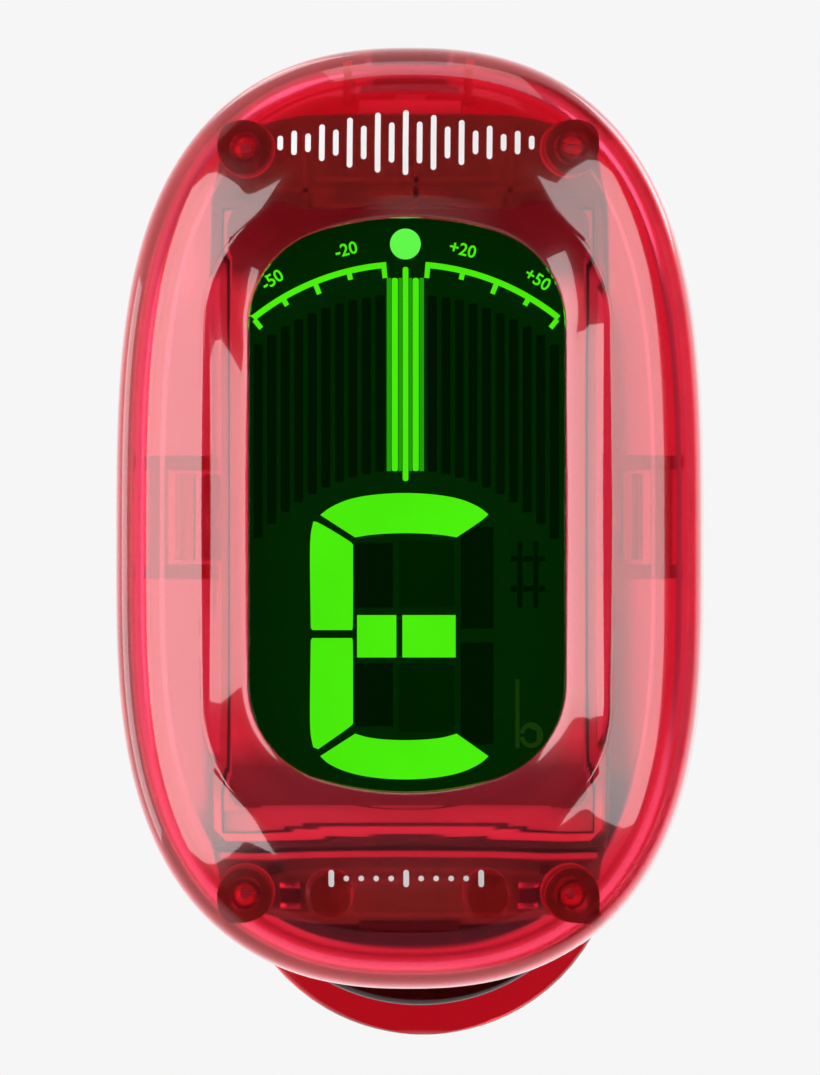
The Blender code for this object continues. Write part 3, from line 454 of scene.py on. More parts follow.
def prism_x(points, x0, x1, edge=0.0, steps=3):
    if edge <= 0:
        return loft([[(x, y, z) for y, z in points] for x in (x0, x1)])
    rings = []
    for k in range(steps + 1):
        a = math.pi / 2 * k / steps
        pts = inset(points, edge * (1 - math.sin(a)))
        rings.append([(x0 + edge * (1 - math.cos(a)), y, z) for y, z in pts])
    for k in range(steps, -1, -1):
        a = math.pi / 2 * k / steps
        pts = inset(points, edge * (1 - math.sin(a)))
        rings.append([(x1 - edge * (1 - math.cos(a)), y, z) for y, z in pts])
    return loft(rings)


def inset(points, d):
    if abs(d) < 1e-9:
        return [tuple(p) for p in points]
    p = np.array(points, float)
    before = np.roll(p, 1, axis=0)
    after = np.roll(p, -1, axis=0)
    e0 = p - before
    e1 = after - p
    e0 /= np.linalg.norm(e0, axis=1)[:, None]
    e1 /= np.linalg.norm(e1, axis=1)[:, None]
    area = 0.5 * np.sum(p[:, 0] * after[:, 1] - after[:, 0] * p[:, 1])
    s = 1.0 if area > 0 else -1.0
    n0 = np.c_[-e0[:, 1], e0[:, 0]] * s
    n1 = np.c_[-e1[:, 1], e1[:, 0]] * s
    mid = n0 + n1
    mid /= np.linalg.norm(mid, axis=1)[:, None]
    k = d / np.clip(np.sum(mid * n1, axis=1), 0.4, 1.0)
    return [tuple(q) for q in p + mid * k[:, None]]


def boolean(target, tool, how):
    mod = target.modifiers.new("b", "BOOLEAN")
    mod.operation = how
    mod.solver = "EXACT"
    mod.object = tool
    bpy.context.view_layer.update()
    dg = bpy.context.evaluated_depsgraph_get()
    me = bpy.data.meshes.new_from_object(target.evaluated_get(dg))
    target.modifiers.clear()
    target.data = me
    bpy.data.objects.remove(tool, do_unlink=True)
    return target


def cut(target, *tools):
    for t in tools:
        boolean(target, t, "DIFFERENCE")
    return target


def fuse(target, *tools):
    for t in tools:
        boolean(target, t, "UNION")
    return target


def join(*objs):
    """Several scratch solids as one object, still separate bodies."""
    bm = bmesh.new()
    for o in objs:
        bm.from_mesh(o.data)
        bpy.data.objects.remove(o, do_unlink=True)
    me = bpy.data.meshes.new("joined")
    bm.to_mesh(me)
    bm.free()
    o = bpy.data.objects.new("joined", me)
    bpy.context.scene.collection.objects.link(o)
    return o


def shift(o, dx=0.0, dy=0.0, dz=0.0):
    for v in o.data.vertices:
        v.co += Vector((dx, dy, dz))
    return o


def in_head(o):
    return shift(o, 0, HEAD_Y, HEAD_Z)


def done(o, name, body, mat, stands_for=(), smooth=32.0):
    bm = bmesh.new()
    bm.from_mesh(o.data)
    bmesh.ops.remove_doubles(bm, verts=bm.verts[:], dist=0.0008)
    bmesh.ops.dissolve_degenerate(bm, edges=bm.edges[:], dist=0.0008)
    for v in bm.verts:
        v.co *= MM
    bmesh.ops.recalc_face_normals(bm, faces=bm.faces[:])
    if smooth:
        # smooth shading, with the border of every large flat face kept sharp so that the face stays flat
        limit = math.radians(smooth)
        flat = {f for f in bm.faces if len(f.verts) > 4 and f.calc_area() > 2.0e-6}
        for f in bm.faces:
            f.smooth = True
        for e in bm.edges:
            if len(e.link_faces) != 2:
                continue
            a = e.calc_face_angle(0.0)
            big = e.link_faces[0] in flat or e.link_faces[1] in flat
            e.smooth = a < (math.radians(2.5) if big else limit)
    bm.to_mesh(o.data)
    bm.free()
    o.name = name
    o.data.name = name
    o.data.materials.clear()
    o.data.materials.append(mat)
    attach(o, body)
    if stands_for:
        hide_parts(*stands_for)
    return o


def wire(points, radius, sides=16, taper=()):
    pts = [Vector(p) for p in points]
    rings = []
    ref = None
    for i, p in enumerate(pts):
        t = (pts[min(i + 1, len(pts) - 1)] - pts[max(i - 1, 0)]).normalized()
        if ref is None:
            ref = t.orthogonal().normalized()
        ref = (ref - t * ref.dot(t)).normalized()
        side = t.cross(ref)
        r = radius * (0.8 if i in (0, len(pts) - 1) else 1.0)
        rings.append([tuple(p + ref * (r * math.cos(a)) + side * (r * math.sin(a)))
                      for a in (2 * math.pi * k / sides for k in range(sides))])
    return loft(rings)


def smooth_path(points, per=8):
    """Catmull-Rom through the points."""
    p = [Vector(q) for q in points]
    p = [2 * p[0] - p[1]] + p + [2 * p[-1] - p[-2]]
    out = []
    for i in range(1, len(p) - 2):
        for k in range(per):
            t = k / per
            out.append(0.5 * ((2 * p[i]) + (p[i + 1] - p[i - 1]) * t + (2 * p[i - 1] - 5 * p[i] + 4 * p[i + 1] - p[i + 2]) * t * t
                              + (3 * p[i] - p[i - 1] - 3 * p[i + 1] + p[i + 2]) * t ** 3))
    out.append(p[-2])
    return out


# ------------------------------------------------------------------ the head's outlines
def head_outline(n=4000):
    t = np.linspace(0, 2 * math.pi, n, endpoint=False)
    c, s = np.cos(t), np.sin(t)
    top = s >= 0
    b = np.where(top, HEAD_B_TOP, HEAD_B_BOTTOM)
    e = np.where(top, 2 / HEAD_N_TOP, 2 / HEAD_N_BOTTOM)
    x = HEAD_A * np.sign(c) * np.abs(c) ** (2 / HEAD_M)
    z = HEAD_WIDEST_Z + b * np.sign(s) * np.abs(s) ** e
    return np.c_[x, z]


def rounded_window(half, top, bottom, r, bow):
    """Round corners and bowed ends; the bow takes over where its slope is the corner's."""
    flat = half - r
    lo, hi = 0.0, 0.8
    for _ in range(50):
        t = (lo + hi) / 2
        if r * math.cos(t) + (flat + r * math.sin(t)) * math.tan(t) / 2 < r + bow:
            lo = t
        else:
            hi = t
    t = (lo + hi) / 2
    x1 = flat + r * math.sin(t)
    curve = math.tan(t) / (2 * x1)
    short = math.pi / 2 - t
    pts = []
    for sx, sz, a0 in ((1, 1, 0), (-1, 1, 90), (-1, -1, 180), (1, -1, 270)):
        zt = top if sz > 0 else bottom
        start = math.radians(a0) + (0.0 if sx * sz > 0 else t)
        for k in range(46):
            a = start + short * k / 45
            pts.append((sx * flat + r * math.cos(a), (zt - sz * (r + bow)) + r * math.sin(a)))
        if sx * sz > 0:
            for k in range(1, 40):
                x = sz * x1 * (1 - 2 * k / 40)
                pts.append((x, zt - sz * curve * x * x))
        else:
            z0 = zt - sz * (r + bow)
            z1 = (bottom + r + bow) if sz > 0 else (top - r - bow)
            for k in range(1, 40):
                pts.append((sx * half, z0 + (z1 - z0) * k / 40))
    return np.array(pts)


class Star:
    def __init__(self, pts):
        pts = np.array(pts, float)
        a = np.mod(np.arctan2(pts[:, 1], pts[:, 0]), 2 * math.pi)
        order = np.argsort(a)
        self.a = a[order]
        self.r = np.hypot(pts[:, 0], pts[:, 1])[order]

    def __call__(self, angles):
        return np.interp(angles, self.a, self.r, period=2 * math.pi)


def dense_inset(pts, d):
    p = np.array(pts)
    t = np.roll(p, -1, axis=0) - np.roll(p, 1, axis=0)
    t /= np.linalg.norm(t, axis=1)[:, None]
    return p + np.c_[-t[:, 1], t[:, 0]] * d


def even(pts, n):
    p = np.vstack([pts, pts[:1]])
    s = np.r_[0, np.cumsum(np.linalg.norm(np.diff(p, axis=0), axis=1))]
    u = np.linspace(0, s[-1], n, endpoint=False)
    return np.c_[np.interp(u, s, p[:, 0]), np.interp(u, s, p[:, 1])]


OUTLINE = even(head_outline(), 2400)
N_RING = 216
_e = even(OUTLINE, N_RING)
ANGLES = np.mod(np.arctan2(_e[:, 1], _e[:, 0]), 2 * math.pi)
WINDOW = even(rounded_window(WINDOW_HALF, WINDOW_TOP, WINDOW_BOTTOM, WINDOW_R, WINDOW_BOW), 3000)
RIDGE = even(rounded_window(RIDGE_HALF, RIDGE_TOP, RIDGE_BOTTOM, RIDGE_R, WINDOW_BOW), 3000)

PROFILE_D = np.array([0.0, 0.05, 0.16, 0.35, 0.62, 0.95, 1.35, 1.80, 2.60, 3.60, 4.60, 5.60, 6.80, 8.50, 12.0])
PROFILE_Y = np.array([5.2, 4.42, 3.82, 3.32, 2.92, 2.60, 2.31, 2.06, 1.74, 1.37, 1.01, 0.66, 0.42, 0.30, 0.28])


def pchip(x, xs, ys):
    """Monotone cubic through the table, so the surface has no kinks."""
    h = np.diff(xs)
    dl = np.diff(ys) / h
    m = np.zeros(len(xs))
    m[0], m[-1] = dl[0], dl[-1]
    for i in range(1, len(xs) - 1):
        if dl[i - 1] * dl[i] > 0:
            w1, w2 = 2 * h[i] + h[i - 1], h[i] + 2 * h[i - 1]
            m[i] = (w1 + w2) / (w1 / dl[i - 1] + w2 / dl[i])
    x = np.clip(np.asarray(x, float), xs[0], xs[-1])
    k = np.clip(np.searchsorted(xs, x, side="right") - 1, 0, len(xs) - 2)
    t = (x - xs[k]) / h[k]
    return ((1 + 2 * t) * (1 - t) ** 2 * ys[k] + t * (1 - t) ** 2 * h[k] * m[k]
            + t * t * (3 - 2 * t) * ys[k + 1] + t * t * (t - 1) * h[k] * m[k + 1])


def front_depth(d):
    return pchip(d, PROFILE_D, PROFILE_Y)


def head_ring(radius, depth, angles=None):
    a = ANGLES if angles is None else angles
    depth = np.broadcast_to(np.asarray(depth, float), radius.shape)
    return [(r * math.cos(t), y, r * math.sin(t)) for r, t, y in zip(radius, a, depth)]


def inset_radius(d):
    return Star(dense_inset(OUTLINE, d))(ANGLES)


def window_radius(grow=0.0):
    return Star(dense_inset(WINDOW, -grow))(ANGLES)


def distance_to_outline(x, z):
    p = np.c_[np.atleast_1d(x), np.atleast_1d(z)]
    return np.min(np.linalg.norm(p[:, None, :] - OUTLINE[None, :, :], axis=2), axis=1)


# ------------------------------------------------------------------ front shell
ridge_r = Star(RIDGE)(ANGLES)
ridge_d = distance_to_outline(ridge_r * np.cos(ANGLES), ridge_r * np.sin(ANGLES))
start_r = inset_radius(1.8)
win_r = window_radius(0.0)
ridge_y = front_depth(ridge_d)
rings = [head_ring(inset_radius(0.10), SEAM_FRONT), head_ring(inset_radius(0.0), SEAM_FRONT - 0.10), head_ring(inset_radius(0.0), 7.0), head_ring(inset_radius(0.0), 6.0)]
for d in (0.0, 0.02, 0.05, 0.10, 0.16, 0.25, 0.35, 0.48, 0.62, 0.78, 0.95, 1.15, 1.35, 1.57, 1.8):
    rings.append(head_ring(inset_radius(d), front_depth(d)))
span_r = ridge_r - start_r
ROUND = 0.16
for f in (0.08, 0.17, 0.27, 0.38, 0.50, 0.62, 0.73, 0.83, 0.91):
    rings.append(head_ring(start_r + span_r * f, front_depth(1.8 + (ridge_d - 1.8) * f)))
crest = []
for u in (0.36, 0.24, 0.14, 0.06, 0.0):
    # the crest is rounded over by a small radius
    base = front_depth(np.maximum(ridge_d - u, 0.0))
    lift = 0.055 * math.exp(-(u / ROUND) ** 2)
    crest.append(head_ring(ridge_r + u, base + lift))
rings += crest
edge_y = LENS_DEPTH - 0.05
fall = ridge_r - win_r
for v in (0.06, 0.14, 0.24, 0.36):
    f = v / fall
    rings.append(head_ring(ridge_r - v, ridge_y + (edge_y - ridge_y) * f + 0.055 * math.exp(-(v / ROUND) ** 2)))
for f in (0.30, 0.5, 0.7, 0.86, 0.95):
    rings.append(head_ring(ridge_r - 0.36 - (fall - 0.36) * f, ridge_y + (edge_y - ridge_y) * ((0.36 + (fall - 0.36) * f) / fall)))
rings.append(head_ring(win_r + 0.03, edge_y + 0.01))
rings.append(head_ring(win_r, edge_y + 0.06))
rings.append(head_ring(win_r, 2.60))
inner_a, inner_b = window_radius(1.2), inset_radius(2.9)
for k in range(13):
    f = k / 12
    rings.append(head_ring(inner_a + (inner_b - inner_a) * f, 2.60 + 0.55 * f * f * (1.6 - 0.6 * f)))
skin_d = np.array([1.35, 1.38, 1.48, 1.68, 1.98, 2.40, 2.9])
skin_y = np.array([6.40, 5.60, 4.95, 4.40, 3.93, 3.50, 3.15])
for d in (2.7, 2.5, 2.3, 2.1, 1.9, 1.74, 1.6, 1.5, 1.43, 1.38):
    rings.append(head_ring(inset_radius(d), float(pchip(d, skin_d, skin_y))))
rings.append(head_ring(inset_radius(HEAD_WALL), 6.4))
rings.append(head_ring(inset_radius(HEAD_WALL), SEAM_FRONT))
shell = loft(rings, closed=True)

extras = []
for sx in (-1, 1):
    for bz in (BOSS_Z_TOP, BOSS_Z_BOTTOM):
        extras.append(turned([(1.85, 2.75), (1.70, 3.2), (1.68, 6.2), (1.60, 6.30)], (sx * BOSS_X, 0, bz), n=40))
    a, b = sorted((sx * 3.35, sx * 3.85))
    extras.append(box(a, b, 3.0, 8.2, 24.6, 27.3))
    extras.append(turned([(1.60, 2.4), (1.45, 2.9), (1.43, 6.2), (1.2, 6.30)], (sx * 4.65, 0, BOSS_Z_BOTTOM), n=36))
fuse(shell, join(*extras))
holes = [turned([(1.0, 3.6), (1.0, 9.0)], (sx * BOSS_X, 0, bz), n=28) for sx in (-1, 1) for bz in (BOSS_Z_TOP, BOSS_Z_BOTTOM)]
cut(shell, join(*holes))
cut(shell, box(-2.6, 2.6, 6.9, 12.0, 24.0, 31.0))
done(in_head(shell), "housing_front", "head", RED, ("front_shell",))

# the pocket walls use the darker copy of the shell's red, painted shade
pockets = []
for sx in (-1, 1):
    a, b = sorted((sx * 12.25, sx * 16.20))
    for sz in (3.30, -3.26):
        pockets.append(box(a, b, 4.75, 8.2, sz - 0.42, sz + 0.42, 0.08))
    pockets.append(box(*sorted((sx * 14.3, sx * 16.2)), 5.95, 6.75, -2.80, 2.84, 0.06))
done(in_head(join(*pockets)), "housing_front_pockets", "head", RED_POCKET_SHADE, ("front_shell",))


# ------------------------------------------------------------------ rear cover and battery door
def back_solid():
    steps = [(0.10, SEAM_REAR), (0.0, SEAM_REAR + 0.10), (0.0, 9.6), (0.0, 10.3), (0.05, 10.75), (0.16, 11.15), (0.35, 11.55), (0.62, 11.95),
             (0.95, 12.28), (1.35, 12.55), (1.85, 12.78), (2.4, 12.93), (3.1, 13.05), (3.9, HEAD_THICK)]
    return loft([head_ring(inset_radius(d), y) for d, y in steps])


def door_prism(half_in, half_out, y_in, y_out, z0, z1):
    return loft([[(-w, y, z0), (w, y, z0), (w, y, z1), (-w, y, z1)] for w, y in ((half_in, y_in), (half_out, y_out))])


slope = (DOOR_HALF_IN - DOOR_HALF_OUT) / (HEAD_THICK - DOOR_INNER)
cover = back_solid()
cavity = loft([head_ring(inset_radius(d), y) for d, y in (
    (HEAD_WALL, SEAM_REAR - 1.0), (HEAD_WALL, 10.2), (1.45, 10.7), (1.7, 11.1), (2.1, 11.45), (2.6, 11.7), (3.3, 11.80))])
cut(cavity, box(-13.0, 13.0, 10.60, 14.0, DOOR_BOTTOM - 1.1, 40.0))
cut(cover, cavity)
g = 0.16
cut(cover, door_prism(DOOR_HALF_IN + g + 0.2 * slope, DOOR_HALF_OUT + g - 0.9 * slope,
                      DOOR_INNER - 0.2, HEAD_THICK + 0.9, DOOR_BOTTOM - g, 40.0))
cut(cover, turned([(CELL_R + 0.35, 9.5), (CELL_R + 0.35, 11.45), (CELL_R + 0.6, 11.75), (CELL_R + 0.6, 12.5)], (0, 0, CELL_Z), n=96))
tz, ty = TILT_Z - HEAD_Z, TILT_Y - HEAD_Y
parts = []
for sx in (-1, 1):
    arc = [(ty + KNUCKLE_R * math.sin(a), tz + KNUCKLE_R * math.cos(a)) for a in np.linspace(0, math.pi, 29)]
    a, b = sorted((sx * EAR_IN, sx * EAR_OUT))
    parts.append(prism_x([(12.4, tz - 3.6), (12.4, tz + 3.6)] + arc, a, b, 0.22))
parts.append(box(-2.7, 2.7, 5.2, 12.2, -25.6, -24.75))
fuse(cover, join(*parts))
cut(cover, turned([(1.18, -8), (1.18, 8)], (0, ty, tz), axis="X", n=40))
cut(cover, box(-2.6, 2.6, 5.0, 10.75, 24.0, 31.0))
done(in_head(cover), "housing_rear", "head", RED_COVER, ("rear_cover",))
hooks = []
for sx in (-1, 1):
    p = [(sx * 12.55, 11.9), (sx * 12.55, 4.85), (sx * 12.7, 4.7), (sx * 13.25, 4.7), (sx * 13.85, 5.45), (sx * 13.85, 5.65), (sx * 13.4, 5.75), (sx * 13.4, 11.9)]
    hooks.append(loft([[(x, y, z) for x, y in p] for z in (-2.55, 2.65)]))
done(in_head(join(*hooks)), "housing_rear_hooks", "head", RED_COVER, ("rear_cover",))

door = back_solid()
boolean(door, door_prism(DOOR_HALF_IN, DOOR_HALF_OUT - 0.9 * slope, DOOR_INNER, HEAD_THICK + 0.9, DOOR_BOTTOM, 40.0), "INTERSECT")
grips = []
for k in range(3):
    z = 1.6 - 1.6 * k
    arc = [(HEAD_THICK - 0.3, z - 0.45), (HEAD_THICK - 0.3, z + 0.45)] + [
        (HEAD_THICK + 0.33 * math.sin(a), z + 0.42 * math.cos(a)) for a in np.linspace(0, math.pi, 9)]
    grips.append(prism_x(arc, -4.4, 4.4, 0.12))
fuse(door, join(*grips))
# an arrow that shows which way the door slides
arrow = prism_y([(-1.6, 5.0), (1.6, 5.0), (0.0, 7.2)], HEAD_THICK - 0.35, HEAD_THICK + 0.9)
cut(door, arrow)
done(in_head(door), "cell_door", "battery_door", RED_COVER, ("battery_door",))

# ------------------------------------------------------------------ window, gasket
lens = loft([head_ring(window_radius(-0.30), LENS_DEPTH), head_ring(window_radius(-0.16), LENS_DEPTH), head_ring(window_radius(-0.10), LENS_DEPTH + 0.02), head_ring(window_radius(-0.06), LENS_DEPTH + 0.07),
             head_ring(window_radius(-0.05), LENS_DEPTH + 0.14), head_ring(window_radius(-0.05), 2.75), head_ring(window_radius(1.1), 2.75),
             head_ring(window_radius(1.2), 2.85), head_ring(window_radius(1.2), 3.20), head_ring(window_radius(1.1), 3.30)])
done(in_head(lens), "window_clear", "head", CLEAR, ("display_lens",))
seal_r = Star(even(rounded_window(10.70, 18.85, -17.55, 1.4, 0.0), 3000))(ANGLES)
gasket = loft([head_ring(seal_r, 3.40), head_ring(seal_r, 3.70),
               head_ring(window_radius(0.15), 3.70), head_ring(window_radius(0.15), 3.40)], closed=True)
done(in_head(gasket), "window_gasket", "head", PALE_FOAM, ("lens_gasket",))


# ------------------------------------------------------------------ display graphics, laid out on a grid of 0.06 mm
GX, GZ, GU = 408.1, 517.1, 0.06


def gpt(x, y):
    return ((x - GX) * GU, (GZ - y) * GU)


def clean_poly(pts):
    out = []
    for p in pts:
        if not out or math.hypot(p[0] - out[-1][0], p[1] - out[-1][1]) > 1e-4:
            out.append(p)
    if math.hypot(out[0][0] - out[-1][0], out[0][1] - out[-1][1]) < 1e-4:
        out.pop()
    return out


def plates(polys, depth, thick=0.02):
    """Closed thin plates from outlines given in display units."""
    bm = bmesh.new()
    for poly in polys:
        pts = clean_poly([gpt(*p) for p in poly])
        add_loft(bm, [[(x, y, z) for x, z in pts] for y in (depth, depth + thick)])
    bmesh.ops.triangulate(bm, faces=[f for f in bm.faces if len(f.verts) > 4])
    return obj_from(bm)


def seg(name, polys, mat, depth=3.755):
    return done(in_head(plates(polys, depth)), name, "head", mat, smooth=0)


def rect(x0, y0, x1, y1):
    return [(x0, y0), (x1, y0), (x1, y1), (x0, y1)]


def soft(pts, r=2.0, n=4):
    """Round the corners of an outline."""
    out = []
    m = len(pts)
    for i in range(m):
        p, a, b = Vector(pts[i]), Vector(pts[i - 1]), Vector(pts[(i + 1) % m])
        u, v = (a - p), (b - p)
        d = min(r, u.length * 0.45, v.length * 0.45)
        s, e = p + u.normalized() * d, p + v.normalized() * d
        for k in range(n + 1):
            t = k / n
            q = s * (1 - t) ** 2 + p * 2 * t * (1 - t) + e * t * t
            out.append((q.x, q.y))
    return out


def faired(pts, n=6):
    """Smooth the slight turns of an outline and keep its real corners."""
    out = []
    m = len(pts)
    for i in range(m):
        p, a, b = Vector(pts[i]), Vector(pts[i - 1]), Vector(pts[(i + 1) % m])
        u, v = a - p, b - p
        if math.pi - u.angle(v) > math.radians(30):
            out.append((p.x, p.y))
            continue
        for k in range(n + 1):
            t = k / n
            q = (p + u * 0.5) * (1 - t) ** 2 + p * 2 * t * (1 - t) + (p + v * 0.5) * t * t
            out.append((q.x, q.y))
    return out


ARC_X, ARC_Y, ARC_R = 406.0, 507.6, 244.4


def arc_pt(deg, r):
    a = math.radians(deg)
    return (ARC_X + r * math.sin(a), ARC_Y - r * math.cos(a))


def arc_band(d0, d1, r0, r1, n=28):
    out = [arc_pt(d0 + (d1 - d0) * k / n, r1) for k in range(n + 1)]
    out += [arc_pt(d1 + (d0 - d1) * k / n, r0) for k in range(n + 1)]
    return out


lit = []
for s in (-1, 1):
    lit.append(arc_band(s * 4.6, s * 38.9, ARC_R - 3.0, ARC_R + 3.0))
    for k in range(5):
        d = s * (5.2 + 8.42 * k)
        long = 13 if k in (0, 2, 4) else 9
        lit.append(arc_band(d - 0.62, d + 0.62, ARC_R - long, ARC_R - 2.0, 3))
seg("display_scale", lit, LIT, 3.750)
seg("display_dot", [[(405.5 + 15.5 * math.cos(a), 243 + 15.5 * math.sin(a)) for a in np.linspace(0, 2 * math.pi, 40, endpoint=False)]], LIT_DOT, 3.750)
needle = [soft(rect(391.8, 277, 398.0, 471), 2.5), soft(rect(402.8, 266, 408.6, 481), 2.8), soft(rect(412.8, 277, 419.0, 471), 2.5)]
seg("display_needle", needle, LIT, 3.745)
seg("display_needle_sides", [rect(386.8, 277, 391.2, 471), rect(398.6, 277, 402.2, 471), rect(409.2, 277, 412.2, 471), rect(419.6, 277, 424.2, 471)], MID, 3.750)

top_seg = [(320, 515), (330, 507), (348, 499), (372, 494.5), (405, 492.5), (438, 494.5), (462, 499), (480, 507), (489, 514.5),
           (482, 521), (457, 537.5), (440, 534.5), (405, 532.8), (372, 534.5), (355, 537.5)]
left_up = [(313, 521.5), (318, 522), (351, 542), (353, 545), (353, 628), (352, 630.5), (312, 630.5), (310.5, 628), (309.5, 560), (310, 535)]
left_dn = [(312, 638.5), (352, 638.5), (353, 641), (353, 724), (351, 727), (318, 750), (313, 748), (310, 735), (309.5, 710), (310.5, 641)]
bot_seg = [(320, 757), (355, 734.5), (372, 739.5), (405, 741.5), (440, 739.5), (457, 734.5), (489, 757), (482, 764), (464, 773), (440, 778.5),
           (405, 781), (370, 778.5), (346, 773), (328, 765)]
seg("display_letter", [faired(top_seg), faired(left_up), faired(left_dn), rect(357, 615.5, 396.5, 658), rect(402.5, 615.5, 456, 658), faired(bot_seg)], LIT, 3.750)

off = []
bars = [253 + 13.6 * k for k in range(10)] + [428 + 13.6 * k for k in range(10)]
for x in bars:
    xc = x + 4.6
    topy = ARC_Y - math.sqrt(ARC_R ** 2 - (xc - ARC_X) ** 2) + 30
    low = 665.6 - math.sqrt(max(195.6 ** 2 - (xc - ARC_X) ** 2, 0.0))
    off.append(soft([(x, topy), (x + 9.2, topy), (x + 9.2, low), (x, low)], 2.0, 2))
seg("display_bars_off", off, OFF, 3.755)
off = [rect(355, 543, 393, 608), rect(461, 527, 494, 629), rect(355, 664, 393, 727), rect(461, 643, 494, 745)]
seg("display_blocks_off", off, OFF, 3.755)
seg("display_blocks_dim", [rect(399, 541, 455, 608), rect(399, 664, 455, 733)], OFF_SOFT, 3.755)
sharp = [rect(518, 541, 523, 608), rect(534, 541, 539, 608), rect(511, 556, 517.4, 562), rect(523.6, 556, 533.4, 562), rect(539.6, 556, 546, 562),
         rect(511, 586, 517.4, 592), rect(523.6, 586, 533.4, 592), rect(539.6, 586, 546, 592)]
seg("display_sharp_off", sharp, OFF, 3.755)
flat = [rect(516, 680, 520, 749)]
c = [(532 + 12 * math.cos(a), 736 + 13 * math.sin(a)) for a in np.linspace(-math.pi * 0.95, math.pi * 0.95, 20)]
ci = [(532 + 7.5 * math.cos(a), 736 + 8.5 * math.sin(a)) for a in np.linspace(math.pi * 0.95, -math.pi * 0.95, 20)]
flat.append(c + ci)
seg("display_flat_off", flat, FLAT_SIGN, 3.755)


def label(name, text, x, y, deg, size=1.05):
    cu = bpy.data.curves.new(name, "FONT")
    cu.body = text
    cu.align_x = "CENTER"
    cu.align_y = "CENTER"
    cu.size = size
    cu.resolution_u = 3
    cu.extrude = 0.010
    cu.offset = 0.018
    tmp = bpy.data.objects.new(name + "_text", cu)
    bpy.context.scene.collection.objects.link(tmp)
    bpy.context.view_layer.update()
    me = bpy.data.meshes.new_from_object(tmp.evaluated_get(bpy.context.evaluated_depsgraph_get()))
    bpy.data.objects.remove(tmp, do_unlink=True)
    o = bpy.data.objects.new(name, me)
    bpy.context.scene.collection.objects.link(o)
    a = math.radians(deg)
    gx, gz = gpt(x, y)
    for v in me.vertices:
        u, w, d = v.co.x, v.co.y, v.co.z
        v.co = Vector((gx + u * math.cos(a) - w * math.sin(a), 3.755 - d, gz + u * math.sin(a) + w * math.cos(a)))
    return o


labels = [label("m50", "-50", 272, 279, 32), label("m20", "-20", 346, 249, 14), label("p20", "+20", 463, 249, -14), label("p50", "+50", 538, 279, -32)]
done(in_head(join(*labels)), "display_numbers", "head", LIT, smooth=0)

# the display's own face: its ground fills the window
NODES["lcd_polarizer"].data.materials.clear()
NODES["lcd_polarizer"].data.materials.append(GROUND)


# the display module's foot: a dark contact bar, whose dark also stands in for the shade in the gap under the display
# frame (painted shade), and a light bar under the window
done(in_head(box(-11.7, 11.7, 3.75, 6.3, -19.85, -19.45, 0.06)), "display_contact_bar_and_gap_shade", "head", DARKTRACK)
done(in_head(box(-11.2, 11.2, 4.0, 6.3, -20.45, -20.08, 0.06)), "display_foot_bar", "head", GREY)

trk = []
for k, (x, z0, z1) in enumerate(((-2.3, 18.6, 20.0), (2.7, 18.6, 20.0), (-8.9, 19.2, 21.6), (8.6, 19.2, 21.4), (-6.2, 19.3, 23.0), (6.0, 19.3, 23.2), (0.4, 19.4, 22.6))):
    trk.append(box(x - 0.14, x + 0.14, 6.44, 6.49, z0, z1))
for z, x0, x1 in ((19.75, -8.8, -2.6), (20.4, -5.6, 5.4), (19.75, 3.0, 8.4), (-21.15, -7.6, 7.6), (-21.75, -3.4, 3.4), (-23.55, -8.2, 8.2)):
    trk.append(box(x0, x1, 6.44, 6.49, z - 0.13, z + 0.13))
done(in_head(join(*trk)), "board_tracks_front", "head", TRACK, smooth=0)
trk = []
for k in range(9):
    trk.append(box(-8.0 + 2.0 * k - 0.11, -8.0 + 2.0 * k + 0.11, 7.31, 7.36, -17.5 + 0.3 * (k % 3), -16.0 + 0.2 * (k % 2)))
for k in range(10):
    z = -6.4 - 1.0 * k
    trk.append(box(-6.6, -4.9, 7.31, 7.36, z - 0.1, z + 0.1))
    trk.append(box(4.9, 6.6, 7.31, 7.36, z - 0.1, z + 0.1))
for x in (-5.0, 5.0):
    trk.append(box(x - 0.1, x + 0.1, 7.31, 7.36, 15.0, 21.0))
done(in_head(join(*trk)), "board_tracks_rear", "head", TRACK, smooth=0)
slots = [box(-2.55, -2.25, 6.42, 6.49, 18.2, 18.9), box(2.9, 3.2, 6.42, 6.49, 18.2, 18.9)]
done(in_head(join(*slots)), "board_pads", "head", SOLDER, smooth=0)
# dark shapes low on the board: a connector and two test pads
low = [box(-3.0, 3.0, 5.9, 6.45, -25.4 + 0.9, -23.95, 0.1), box(-8.3, -7.6 - 0.05, 5.9, 6.45, -21.2, -20.7, 0.05), box(7.65, 8.3, 5.9, 6.45, -21.2, -20.7, 0.05)]
done(in_head(join(*low)), "board_connector", "head", CHIP, smooth=0)

# ------------------------------------------------------------------ prints on the front shell: plain marks only
def surface_y(x, z):
    return float(front_depth(distance_to_outline(x, z))[0])


def printed(name, marks, mat):
    """Marks as (outline) lists; each is laid on the shell's outer skin as a closed film."""
    bm = bmesh.new()
    for pts in marks:
        pts = clean_poly(pts)
        f = [[(x, surface_y(x, z) - 0.030, z) for x, z in pts], [(x, surface_y(x, z) - 0.006, z) for x, z in pts]]
        add_loft(bm, f)
    bmesh.ops.triangulate(bm, faces=[f for f in bm.faces if len(f.verts) > 4])
    return done(in_head(obj_from(bm)), name, "head", mat, smooth=0)


def capsule(x, z, half, r, n=8):
    top = [(x + r * math.cos(a), z + half + r * math.sin(a)) for a in np.linspace(0, math.pi, n)]
    bot = [(x + r * math.cos(a), z - half + r * math.sin(a)) for a in np.linspace(math.pi, 2 * math.pi, n)]
    out = list(top)
    m = 6
    for k in range(1, m):
        out.append((x - r, z + half - 2 * half * k / m))
    out += bot
    for k in range(1, m):
        out.append((x + r, z - half + 2 * half * k / m))
    return out


